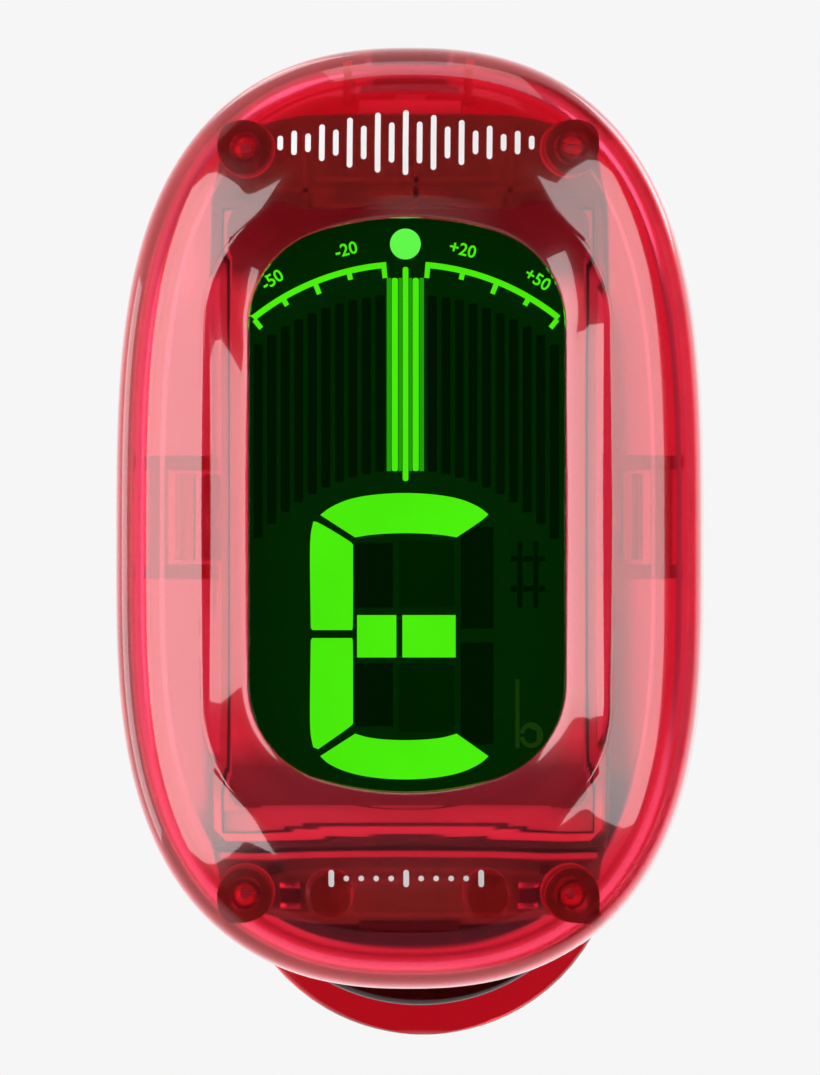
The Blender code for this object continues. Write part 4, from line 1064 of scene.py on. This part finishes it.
heights = [0.55, 1.15, 0.8, 1.9, 1.25, 2.7, 1.7, 3.3, 2.1, 3.6, 2.2, 3.0, 1.6, 2.4, 1.1, 1.7, 0.7, 1.1, 0.5]
marks = [capsule(-7.6 + 0.84 * k, 22.45, h / 2, 0.17) for k, h in enumerate(heights)]
printed("print_wave", marks, PRINT)
dots = [capsule(-4.5 + 0.9 * k, -21.75, 0.0 if k % 5 else 0.35, 0.17) for k in range(11)]
printed("print_dots", dots, GREY_PRINT)

# ------------------------------------------------------------------ power button
cap_pts = [(2.3, 26.0)] + [(u, 28.36 - 0.022 * u * u) for u in np.linspace(2.3, -2.3, 17)] + [(-2.3, 26.0)]
button = prism_y(cap_pts, 7.2, 10.45, 0.15, 3)
fuse(button, box(-3.05, 3.05, 7.2, 10.45, 25.85, 26.45))
grooves = [box(u - 0.16, u + 0.16, 7.7, 9.95, 28.14, 28.9) for u in (-1.35, -0.45, 0.45, 1.35)]
cut(button, join(*grooves))
done(in_head(button), "button_cap", "power_button", RED_CLIP, ("power_button",))

# ------------------------------------------------------------------ display stack and small parts
glass = [box(-10.9, 10.9, 4.05, 4.57, -17.6, 18.4, 0.05), box(-10.9, 10.9, 4.63, 5.15, -18.8, 18.4, 0.05)]
done(in_head(join(*glass)), "display_glass_pair", "head", GLASS_EDGE, ("lcd_glass",), 30)
done(in_head(box(-10.1, 10.1, 5.25, 6.05, -17.1, 18.2, 0.08)), "light_guide_plate", "head", GUIDE, ("backlight_guide",), 30)


def chip_part(name, x0, x1, y0, y1, z0, z1, node, body_mat, along="x"):
    """Little chip component: body with two wrapped metal ends."""
    if along == "x":
        t = 0.22 * (x1 - x0)
        body = box(x0 + t * 0.7, x1 - t * 0.7, y0 + 0.02, y1 - 0.04, z0 + 0.03, z1 - 0.03, 0.03)
        ends = [box(x0, x0 + t, y0, y1, z0, z1, 0.05), box(x1 - t, x1, y0, y1, z0, z1, 0.05)]
    else:
        t = 0.22 * (z1 - z0)
        body = box(x0 + 0.03, x1 - 0.03, y0 + 0.02, y1 - 0.04, z0 + t * 0.7, z1 - t * 0.7, 0.03)
        ends = [box(x0, x1, y0, y1, z0, z0 + t, 0.05), box(x0, x1, y0, y1, z1 - t, z1, 0.05)]
    done(in_head(body), name + "_body", "head", body_mat, (node,), 30)
    done(in_head(join(*ends)), name + "_ends", "head", SOLDER, (node,), 30)


r0 = BOARD_REAR + 0.1
chip_part("cap_1", -9.4, -7.0, r0, r0 + 1.2, -10.2, -8.8, "capacitor_1", TAN)
chip_part("cap_2", -9.4, -7.0, r0, r0 + 1.2, -14.0, -12.6, "capacitor_2", TAN)
chip_part("res_1", -7.62, -6.42, 5.75, 6.40, -23.3, -21.7, "chip_resistor_1", CHIP, "z")
chip_part("res_2", 6.42, 7.62, 5.75, 6.40, -23.3, -21.7, "chip_resistor_2", CHIP, "z")
chip_part("reg", 6.6, 9.4, r0, r0 + 1.0, -18.2, -16.6, "voltage_regulator", CHIP)

chip = loft([[(x, y, z) for x, z in ((-w + 0.25, -11 - w), (w - 0.25, -11 - w), (w, -11 - w + 0.25), (w, -11 + w - 0.25), (w - 0.25, -11 + w), (-w + 0.25, -11 + w), (-w, -11 + w - 0.25), (-w, -11 - w + 0.25))]
             for w, y in ((4.0, r0), (4.2, r0 + 0.65), (4.2, r0 + 0.8), (4.02, r0 + 1.36), (3.94, r0 + 1.4))])
cut(chip, turned([(0.45, r0 + 1.28), (0.45, r0 + 2)], (-2.9, 0, -8.1), n=24))
done(in_head(chip), "tuner_chip_body", "head", CHIP, ("tuner_chip",), 30)
legs = []
for k in range(10):
    u = -3.6 + 0.8 * k
    for s_ in (-1, 1):
        p = [(s_ * 4.02, 0.62), (s_ * 4.5, 0.62), (s_ * 4.72, 0.12), (s_ * 5.2, 0.12), (s_ * 5.2, 0.0), (s_ * 4.62, 0.0), (s_ * 4.42, 0.5), (s_ * 4.02, 0.5)]
        legs.append(loft([[(x, r0 + y, -11 + z) for x, y in p] for z in (u - 0.14, u + 0.14)]))
        legs.append(loft([[(x, r0 + y, -11 + z) for z, y in p] for x in (u - 0.14, u + 0.14)]))
done(in_head(join(*legs)), "tuner_chip_legs", "head", SOLDER, ("tuner_chip",), 0)

can = turned([(0.75, -3.0), (0.92, -2.96), (1.0, -2.82), (1.0, 2.7), (1.06, 2.75), (1.06, 2.9), (0.9, 3.0)], (8.0, r0 + 1.06, -11.0), axis="Z", n=48)
done(in_head(can), "crystal_can_body", "head", NICKEL, ("crystal_can",), 30)
done(in_head(join(*[wire([(8.0 + e, r0 + 1.06, -8.05), (8.0 + e, r0 + 1.06, -7.7), (8.0 + e * 1.3, r0 + 0.6, -7.3), (8.0 + e * 1.4, r0 - 0.02, -7.2)], 0.13, 12) for e in (-0.35, 0.35)])),
     "crystal_leads", "head", SOLDER, ("crystal_can",))

cell = turned([(0.01, 8.45), (7.6, 8.45), (7.95, 8.47), (8.45, 8.56), (8.75, 8.7), (8.95, 9.05), (9.1, 9.15), (9.5, 9.2), (9.75, 9.25), (9.93, 9.4), (CELL_R, 9.6),
               (CELL_R, 11.4), (9.94, 11.55), (9.78, 11.64), (9.6, 11.65), (0.01, 11.65)], (0, 0, CELL_Z), n=128)
plus = [box(-2.0, 2.0, 11.62, 11.72, CELL_Z - 0.28, CELL_Z + 0.28, 0.03), box(-0.28, 0.28, 11.62, 11.72, CELL_Z - 2.0, CELL_Z + 2.0, 0.03)]
done(in_head(cell), "coin_cell_can", "head", NICKEL, ("coin_cell",), 30)
done(in_head(join(*plus)), "coin_cell_mark", "head", STEEL, ("coin_cell",), 30)

for k, (sx, bz) in enumerate(((-1, BOSS_Z_TOP), (1, BOSS_Z_TOP), (-1, BOSS_Z_BOTTOM), (1, BOSS_Z_BOTTOM)), 1):
    screw = turned([(0.35, 3.9), (0.62, 4.3), (0.65, 4.6), (0.65, 7.42), (1.52, 7.42), (1.60, 7.5), (1.58, 7.8), (1.40, 8.08), (1.05, 8.22), (0.4, 8.27)], (sx * BOSS_X, 0, bz), n=48)
    cross = join(box(sx * BOSS_X - 0.85, sx * BOSS_X + 0.85, 7.75, 9.0, bz - 0.13, bz + 0.13))
    cut(screw, cross)
    cut(screw, box(sx * BOSS_X - 0.13, sx * BOSS_X + 0.13, 7.75, 9.0, bz - 0.85, bz + 0.85))
    done(in_head(screw), f"board_screw_{k}_cross", "head", STEEL, (f"board_screw_{k}",), 30)

# ------------------------------------------------------------------ tilt joint
pin = turned([(0.7, -6.05), (0.9, -6.0), (1.0, -5.85), (1.0, 5.8), (1.6, 5.8), (1.7, 5.9), (1.68, 6.2), (1.45, 6.42), (0.9, 6.5)], (0, TILT_Y, TILT_Z), axis="X", n=48)
done(pin, "tilt_pin_turned", "head", STEEL, ("tilt_pin",), 30)
for side_, sx in (("left", -1), ("right", 1)):
    a, b = sorted((sx * 2.72, sx * 3.20))
    w = turned_ring([(1.32, a + 0.05), (1.32, b - 0.05), (1.37, b), (2.08, b), (2.15, b - 0.06), (2.15, a + 0.06), (2.08, a), (1.37, a)], (0, TILT_Y, TILT_Z), axis="X", n=56)
    done(w, "friction_ring_" + side_, "head", NYLON, ("friction_washer_" + side_,), 40)

arm = turned([(DISC_R - 0.6, DISC_FRONT), (DISC_R - 0.3, DISC_FRONT + 0.05), (DISC_R - 0.1, DISC_FRONT + 0.2), (DISC_R, DISC_FRONT + 0.5),
              (DISC_R, DISC_REAR - 0.15), (DISC_R - 0.12, DISC_REAR)], (0, 0, TILT_Z), n=96)
arc = [(TILT_Y - KNUCKLE_R * math.sin(a), TILT_Z + KNUCKLE_R * math.cos(a)) for a in np.linspace(0, math.pi, 33)]
fuse(arm, prism_x([(DISC_FRONT + 0.5, TILT_Z - KNUCKLE_R), (DISC_FRONT + 0.5, TILT_Z + KNUCKLE_R)] + arc, -KNUCKLE_HALF, KNUCKLE_HALF, 0.18))
cut(arm, turned([(1.12, -4), (1.12, 4)], (0, TILT_Y, TILT_Z), axis="X", n=40))
cut(arm, turned([(1.55, -8.3), (1.55, -5.0)], (0, 0, TILT_Z), n=40))
done(arm, "swivel_arm_moulded", "arm", RED_CLIP, ("swivel_arm",), 30)
screw = turned([(1.9, -1.72), (2.3, -1.80), (2.6, -1.95), (2.8, -2.2), (2.8, -2.62), (2.72, -2.70), (1.25, -2.70), (1.25, -7.8), (1.05, -8.0)], (0, 0, TILT_Z), n=64)
cut(screw, box(-1.7, 1.7, -2.35, -1.0, TILT_Z - 0.25, TILT_Z + 0.25))
cut(screw, box(-0.25, 0.25, -2.35, -1.0, TILT_Z - 1.7, TILT_Z + 1.7))
done(screw, "swivel_screw_turned", "arm", STEEL, ("swivel_screw",), 30)
washer = turned_ring([(1.5, -3.03), (1.5, -2.82), (2.9, -2.80), (2.95, -2.85), (2.95, -3.0), (2.9, -3.05)], (0, 0, TILT_Z), n=64)
done(washer, "swivel_washer_turned", "arm", STEEL, ("swivel_washer",), 30)


# ------------------------------------------------------------------ clip
def jaw_outline(r_end, top, shoulder, waist, tip, corner, n=24):
    pts = [(r_end * math.cos(a), END_Z + r_end * math.sin(a)) for a in np.linspace(-math.pi, 0, 97)]
    for t in np.linspace(0, 1, 9)[1:-1]:
        pts.append((r_end + (waist - r_end) * t, END_Z + (shoulder - END_Z) * t))
    pts += [(waist, shoulder)]
    for t in np.linspace(0, 1, 7)[1:-1]:
        pts.append((waist + (tip - waist) * t, shoulder + (top - corner - shoulder) * t))
    pts += [(tip - corner + corner * math.cos(a), top - corner + corner * math.sin(a)) for a in np.linspace(0, math.pi / 2, n)]
    half = [(x, z) for x, z in pts if x > 0 or z > 10]
    pts += [(-tip + corner - corner * math.cos(a), top - corner + corner * math.sin(a)) for a in np.linspace(math.pi / 2, 0, n)]
    for t in np.linspace(1, 0, 7)[1:-1]:
        pts.append((-(waist + (tip - waist) * t), shoulder + (top - corner - shoulder) * t))
    pts += [(-waist, shoulder)]
    for t in np.linspace(1, 0, 9)[1:-1]:
        pts.append((-(r_end + (waist - r_end) * t), END_Z + (shoulder - END_Z) * t))
    return pts


jaw = prism_y(jaw_outline(FRONT_END_R, TAB_TOP, 19.0, 10.4, 9.6, 4.5), JAW_FRONT, JAW_BACK, 0.7, 5)
more = [turned([(DISC_R - 0.12, BOSS_FRONT), (DISC_R, BOSS_FRONT + 0.12), (DISC_R, JAW_FRONT + 0.6)], (0, 0, TILT_Z), n=96)]
for sx in (-1, 1):
    arc = [(PIVOT_Y + 3.2 * math.sin(a), PIVOT_Z + 3.2 * math.cos(a)) for a in np.linspace(0, math.pi, 33)]
    a, b = sorted((sx * 5.0, sx * 7.0))
    more.append(prism_x([(-2.2, PIVOT_Z - 3.4), (-2.2, PIVOT_Z + 4.2)] + arc, a, b, 0.2))
fuse(jaw, join(*more))
cut(jaw, join(turned([(1.2, -12), (1.2, 12)], (0, PIVOT_Y, PIVOT_Z), axis="X", n=40)))
cut(jaw, turned([(3.4, -3.2), (3.4, 0.0)], (0, 0, TILT_Z), n=64))
cut(jaw, turned([(1.75, -8.0), (1.75, 0.0)], (0, 0, TILT_Z), n=40))
bars = []
for k in range(4):
    z = 27.4 + 2.1 * k
    arc = [(JAW_FRONT + 0.3, z - 0.55), (JAW_FRONT + 0.3, z + 0.55)] + [(JAW_FRONT - 0.34 * math.sin(a), z + 0.5 * math.cos(a)) for a in np.linspace(0, math.pi, 11)]
    bars.append(prism_x(arc, -6.5, 6.5, 0.15))
fuse(jaw, join(*bars))
done(jaw, "clip_front_jaw", "clip", RED_CLIP, ("front_jaw",), 30)


def pad_outline():
    pts = [(PAD_R * math.cos(a), END_Z + PAD_R * math.sin(a)) for a in np.linspace(-math.pi, 0, 81)]
    c = 1.5
    pts += [(PAD_R - c + c * math.cos(a), PAD_TOP - c + c * math.sin(a)) for a in np.linspace(0, math.pi / 2, 12)]
    pts += [(-PAD_R + c - c * math.cos(a), PAD_TOP - c + c * math.sin(a)) for a in np.linspace(math.pi / 2, 0, 12)]
    return pts


def pad(y0, y1, face):
    o = prism_y(pad_outline(), y0, y1, 0.22, 4)
    g = []
    for k in range(11):
        z = -5.2 + 1.1 * k
        half = math.sqrt(max((PAD_R - 0.9) ** 2 - min(z - END_Z, 0.0) ** 2, 0.5))
        a, b = (face - 0.22, face + 0.5) if face == y1 else (face - 0.5, face + 0.22)
        g.append(box(-half, half, a, b, z - 0.22, z + 0.22))
    return cut(o, join(*g))


done(pad(-PAD_T, 0.0, 0.0), "front_pad_ribbed", "clip", RUBBER, ("front_pad",), 30)
done(pad(PAD_GAP, PAD_GAP + PAD_T, PAD_GAP), "rear_pad_ribbed", "rear_jaw", RUBBER, ("rear_pad",), 30)
pin = turned([(1.0, -10.42), (1.5, -10.38), (1.72, -10.28), (1.8, -10.1), (1.8, -9.7), (1.75, -9.65), (1.1, -9.65), (1.1, 9.65), (1.75, 9.65), (1.8, 9.7),
              (1.8, 10.1), (1.72, 10.28), (1.5, 10.38), (1.0, 10.42)], (0, PIVOT_Y, PIVOT_Z), axis="X", n=56)
done(pin, "pivot_pin_turned", "clip", STEEL, ("jaw_pivot_pin",), 30)

TURNS, XS = 5.5, 3.8


def coil_point(t):
    a = math.pi + 2 * math.pi * t
    return (XS - 2 * XS * t / TURNS, PIVOT_Y + SPRING_R * math.cos(a), PIVOT_Z + SPRING_R * math.sin(a))


front_leg = smooth_path([(XS, -0.70, 33.0), (XS, -0.70, 31.5), (XS, -0.35, 28.5), (XS, 0.45, 25.5)] + [coil_point(t) for t in (0, 0.04, 0.08)], 8)
path = front_leg[:-1] + [Vector(coil_point(0.08 + (TURNS - 0.20) * k / 240)) for k in range(241)]
done(wire(path, SPRING_WIRE, 14), "spring_coil", "clip", STEEL, ("torsion_spring",), 40)
rear_leg = [Vector(coil_point(TURNS - 0.17 + 0.17 * k / 10)) for k in range(11)]
rear_leg = rear_leg[:-1] + smooth_path([coil_point(TURNS), (-XS, 7.35, 25.0), (-XS, 8.9, 28.0), (-XS, 10.35, 31.0), (-XS, 10.9, 32.3)], 10)
done(wire(rear_leg, SPRING_WIRE, 14), "spring_rear_leg", "rear_jaw", STEEL, ("torsion_spring",), 40)

PATH_Z = np.array([-10.0, 0.0, 7.0, 8.4, 10.0, 12.0, 14.0, 17.0, 20.0, 24.0, 28.0, 33.0, 38.0])
PATH_Y = np.array([3.15, 3.15, 3.15, 3.75, 5.3, 7.3, 8.6, 9.3, 9.6, 10.2, 11.6, 14.0, 16.4])


def rear_path(z):
    return float(pchip(z, PATH_Z, PATH_Y))


def rear_half(z):
    if z < REAR_END_Z:
        return math.sqrt(max(REAR_END_R ** 2 - (z - REAR_END_Z) ** 2, 0.0))
    if z < 19.0:
        return REAR_END_R + (10.9 - REAR_END_R) * (z - REAR_END_Z) / (19.0 - REAR_END_Z)
    top = TAB_TOP + 1.0
    w = 10.9 + (9.9 - 10.9) * (z - 19.0) / (top - 19.0)
    c = 4.6
    if z > top - c:
        w = w - c + math.sqrt(max(c * c - (z - top + c) ** 2, 0.0))
    return w


rows = [REAR_END_Z - REAR_END_R * math.sin(math.radians(a)) for a in (88.0, 86, 83, 80, 76, 72, 68, 64, 60, 55, 50, 45, 40, 34, 28, 21, 14, 7)]
rows += list(np.linspace(REAR_END_Z, 33.0, 70))
rows += [TAB_TOP + 1.0 - 4.6 + 4.6 * math.sin(math.radians(a)) for a in (4, 12, 20, 28, 36, 44, 52, 59, 66, 72, 77, 82, 86)] + [TAB_TOP + 0.99]
rings = []
for i, z in enumerate(rows):
    y = rear_path(z)
    w = rear_half(z)
    dy = rear_path(z + 0.4) - rear_path(z - 0.4)
    t = Vector((0, dy, 0.8)).normalized()
    nrm = Vector((0, t.z, -t.y))
    k = min(i, len(rows) - 1 - i)
    h = REAR_T / 2 - (0.5, 0.32, 0.18, 0.09, 0.04, 0.0)[min(k, 5)]
    c = min(0.7, 0.35 * w, 0.75 * h)
    mid = Vector((0, y, z))
    ring = []
    for sx, sv, a0 in ((1, -1, -90), (1, 1, 0), (-1, 1, 90), (-1, -1, 180)):
        for q in range(6):
            a = math.radians(a0 + 90 * q / 5)
            ring.append(tuple(mid + Vector((sx * (w - c) + c * math.cos(a), 0, 0)) + nrm * (sv * (h - c) + c * math.sin(a))))
    rings.append(ring)
rear = loft(rings)
more = []
for sx in (-1, 1):
    arc = [(PIVOT_Y - 3.0 * math.sin(a), PIVOT_Z - 3.0 * math.cos(a)) for a in np.linspace(0, math.pi, 33)]
    a, b = sorted((sx * 7.3, sx * 9.3))
    more.append(prism_x([(9.7, PIVOT_Z + 3.6), (9.2, PIVOT_Z - 3.8)] + arc, a, b, 0.2))
fuse(rear, join(*more))
cut(rear, turned([(1.2, -12), (1.2, 12)], (0, PIVOT_Y, PIVOT_Z), axis="X", n=40))
done(rear, "clip_rear_jaw", "rear_jaw", RED_CLIP, ("rear_jaw",), 30)
bars = []
for k in range(4):
    z = 27.4 + 2.1 * k
    y = rear_path(z)
    t = Vector((0, rear_path(z + 0.4) - rear_path(z - 0.4), 0.8)).normalized()
    nrm = Vector((0, t.z, -t.y))
    pts = []
    for u, v in [(-0.55, -0.3), (0.55, -0.3)] + [(0.5 * math.cos(a), 0.34 * math.sin(a)) for a in np.linspace(0, math.pi, 11)]:
        q = Vector((0, y, z)) + nrm * (REAR_T / 2 + v) + t * u
        pts.append((q.y, q.z))
    bars.append(prism_x(pts, -6.5, 6.5, 0.12))
done(join(*bars), "clip_rear_grips", "rear_jaw", RED_CLIP, ("rear_jaw",), 30)

# ------------------------------------------------------------------ plain materials for CAD nodes that stay
KEEP = {
    "lcd_glass": GLASS_EDGE, "backlight_guide": GUIDE, "backlight_reflector": WHITE, "backlight_frame": FRAME,
    "backlight_led_left": LED, "backlight_led_right": LED, "zebra_strip": ZEBRA, "circuit_board": BOARD,
    "board_screw_1": STEEL, "board_screw_2": STEEL, "board_screw_3": STEEL, "board_screw_4": STEEL,
    "tuner_chip": CHIP, "crystal_can": NICKEL, "capacitor_1": TAN, "capacitor_2": TAN, "voltage_regulator": CHIP,
    "chip_resistor_1": CHIP, "chip_resistor_2": CHIP, "coin_cell": NICKEL, "battery_contact_negative": STEEL,
    "battery_contact_positive": STEEL, "tact_switch": SWITCH, "piezo_disc": BRASS, "piezo_ceramic": CERAMIC,
    "piezo_foam": FOAM, "piezo_lead_red": LEAD_RED, "piezo_lead_black": LEAD_BLACK, "tilt_pin": STEEL,
    "friction_washer_left": NYLON, "friction_washer_right": NYLON, "swivel_arm": RED_CLIP, "swivel_screw": STEEL,
    "swivel_washer": STEEL, "front_jaw": RED_CLIP, "front_pad": RUBBER, "jaw_pivot_pin": STEEL, "torsion_spring": STEEL,
    "rear_jaw": RED_CLIP, "rear_pad": RUBBER,
}
for n, m in KEEP.items():
    NODES[n].data.materials.clear()
    NODES[n].data.materials.append(m)

# ------------------------------------------------------------------ stage, light, camera
scene = bpy.context.scene
scene.view_settings.view_transform = "Standard"
scene.view_settings.look = "None"
scene.view_settings.exposure = 0.0
scene.view_settings.gamma = 1.0

AIM = Vector((0.0, HEAD_Y + 7.0, HEAD_Z)) * MM


def direction(az, el):
    """Unit vector from the object towards azimuth az (0 = the viewer's side, positive to the right) and elevation el."""
    a, e = math.radians(az), math.radians(el)
    return Vector((math.sin(a) * math.cos(e), -math.cos(a) * math.cos(e), math.sin(e)))


def softbox(name, az, el, dist, width, height, radiance, colour=(1, 1, 1)):
    li = bpy.data.lights.new(name, "AREA")
    li.shape = "RECTANGLE"
    li.size = width
    li.size_y = height
    li.color = colour
    li.energy = radiance * math.pi * width * height
    o = bpy.data.objects.new(name, li)
    o.location = AIM + direction(az, el) * dist
    o.rotation_euler = (AIM - o.location).to_track_quat("-Z", "Y").to_euler()
    scene.collection.objects.link(o)
    return o


softbox("box_left", -37.0, 0.7, 0.60, 0.277, 0.535, 5.2)
softbox("box_right", 33.5, 5.0, 0.60, 0.200, 0.500, 4.6)
softbox("side_left", -102.0, -5.0, 0.75, 0.34, 0.50, 2.6)
softbox("top_soft", 10.0, 68.0, 0.80, 0.50, 0.40, 1.6)
softbox("rear_left", -152.0, 44.0, 0.90, 0.30, 0.40, 1.4)
softbox("rear_right", 140.0, 28.0, 0.90, 0.30, 0.45, 2.2)

world = bpy.data.worlds.new("studio")
scene.world = world
world.use_nodes = True
nt = world.node_tree
nt.nodes.clear()
out = nt.nodes.new("ShaderNodeOutputWorld")
tc = nt.nodes.new("ShaderNodeTexCoord")
sep = nt.nodes.new("ShaderNodeSeparateXYZ")
nt.links.new(tc.outputs["Generated"], sep.inputs[0])


def wmath(op, a, b=None, clamp=False):
    n = nt.nodes.new("ShaderNodeMath")
    n.operation = op
    n.use_clamp = clamp
    for i, v in enumerate((a, b)):
        if v is None:
            continue
        if isinstance(v, (int, float)):
            n.inputs[i].default_value = v
        else:
            nt.links.new(v, n.inputs[i])
    return n.outputs[0]


def wrange(value, a, b, lo, hi):
    r = nt.nodes.new("ShaderNodeMapRange")
    r.interpolation_type = "SMOOTHSTEP"
    r.inputs["From Min"].default_value = a
    r.inputs["From Max"].default_value = b
    r.inputs["To Min"].default_value = lo
    r.inputs["To Max"].default_value = hi
    nt.links.new(value, r.inputs["Value"])
    return r.outputs[0]


def wmix(fac, a, b):
    m = nt.nodes.new("ShaderNodeMix")
    m.data_type = "FLOAT"
    for i, v in ((0, fac), (2, a), (3, b)):
        if isinstance(v, (int, float)):
            m.inputs[i].default_value = v
        else:
            nt.links.new(v, m.inputs[i])
    return m.outputs[0]


# dark room in front, pale walls at the sides and behind, the right side opening later than the left
side = wmath("MULTIPLY", wmath("MAXIMUM", sep.outputs[0], 0.0), 1.05)
first = wrange(wmath("SUBTRACT", sep.outputs[1], side), -0.55, -0.20, 0.015, 0.92)
inner = wrange(sep.outputs[1], -0.93, -0.72, 0.015, 0.68)
inner = wmath("MULTIPLY", inner, wrange(sep.outputs[0], 0.10, 0.60, 1.0, 0.20))
inner = wmath("MULTIPLY", inner, wrange(sep.outputs[2], 0.10, 0.38, 1.0, 0.60))
lp = nt.nodes.new("ShaderNodeLightPath")
straight = wmath("MULTIPLY", lp.outputs["Is Transmission Ray"], wmath("LESS_THAN", lp.outputs["Glossy Depth"], 0.5))
passed = wmath("GREATER_THAN", lp.outputs["Transmission Depth"], 0.5)
level = wmix(passed, first, inner)
level = wmix(straight, level, 0.92)
level = wmix(lp.outputs["Is Camera Ray"], level, 0.9215)
bg = nt.nodes.new("ShaderNodeBackground")
bg.inputs[0].default_value = (1, 1, 1, 1)
nt.links.new(level, bg.inputs[1])
nt.links.new(bg.outputs[0], out.inputs[0])


def floor_disc():
    bm = bmesh.new()
    bmesh.ops.create_circle(bm, cap_ends=True, segments=96, radius=0.95)
    me = bpy.data.meshes.new("floor")
    bm.to_mesh(me)
    bm.free()
    o = bpy.data.objects.new("floor", me)
    o.location = (0, 0, -0.060)
    scene.collection.objects.link(o)
    m, nt, p, out = new_mat("floor_pale")
    p.inputs["Base Color"].default_value = (0.30, 0.30, 0.30, 1)
    p.inputs["Roughness"].default_value = 0.9
    p.inputs["Specular IOR Level"].default_value = 0.0
    p.inputs["Emission Color"].default_value = (1, 1, 1, 1)
    p.inputs["Emission Strength"].default_value = 0.74
    v = coords(nt)
    ln = nt.nodes.new("ShaderNodeVectorMath")
    ln.operation = "LENGTH"
    nt.links.new(v, ln.inputs[0])
    fr = nt.nodes.new("ShaderNodeMapRange")
    fr.interpolation_type = "SMOOTHSTEP"
    fr.inputs["From Min"].default_value = 0.30
    fr.inputs["From Max"].default_value = 0.90
    nt.links.new(ln.outputs["Value"], fr.inputs["Value"])
    tr = nt.nodes.new("ShaderNodeBsdfTransparent")
    mix = nt.nodes.new("ShaderNodeMixShader")
    nt.links.new(fr.outputs[0], mix.inputs[0])
    nt.links.new(p.outputs[0], mix.inputs[1])
    nt.links.new(tr.outputs[0], mix.inputs[2])
    nt.links.new(mix.outputs[0], out.inputs[0])
    me.materials.append(m)
    o.visible_glossy = False
    o.visible_diffuse = False
    o.visible_shadow = False


floor_disc()

CAM_AZ, CAM_EL, CAM_D = 2.0, -1.0, 1.0
cam = bpy.data.cameras.new("camera")
cam.sensor_fit = "VERTICAL"
cam.sensor_height = 24.0
cam.lens = 24.0 * (CAM_D * 1000 - 7.0) / (1075 * 0.06)
cam.clip_start = 0.05
cam.clip_end = 20.0
camera = bpy.data.objects.new("camera", cam)
target = Vector((0.0, HEAD_Y + 7.0, HEAD_Z - 1.17)) * MM
camera.location = target + direction(CAM_AZ, CAM_EL) * CAM_D
camera.rotation_euler = (target - camera.location).to_track_quat("-Z", "Y").to_euler()
scene.collection.objects.link(camera)
scene.camera = camera
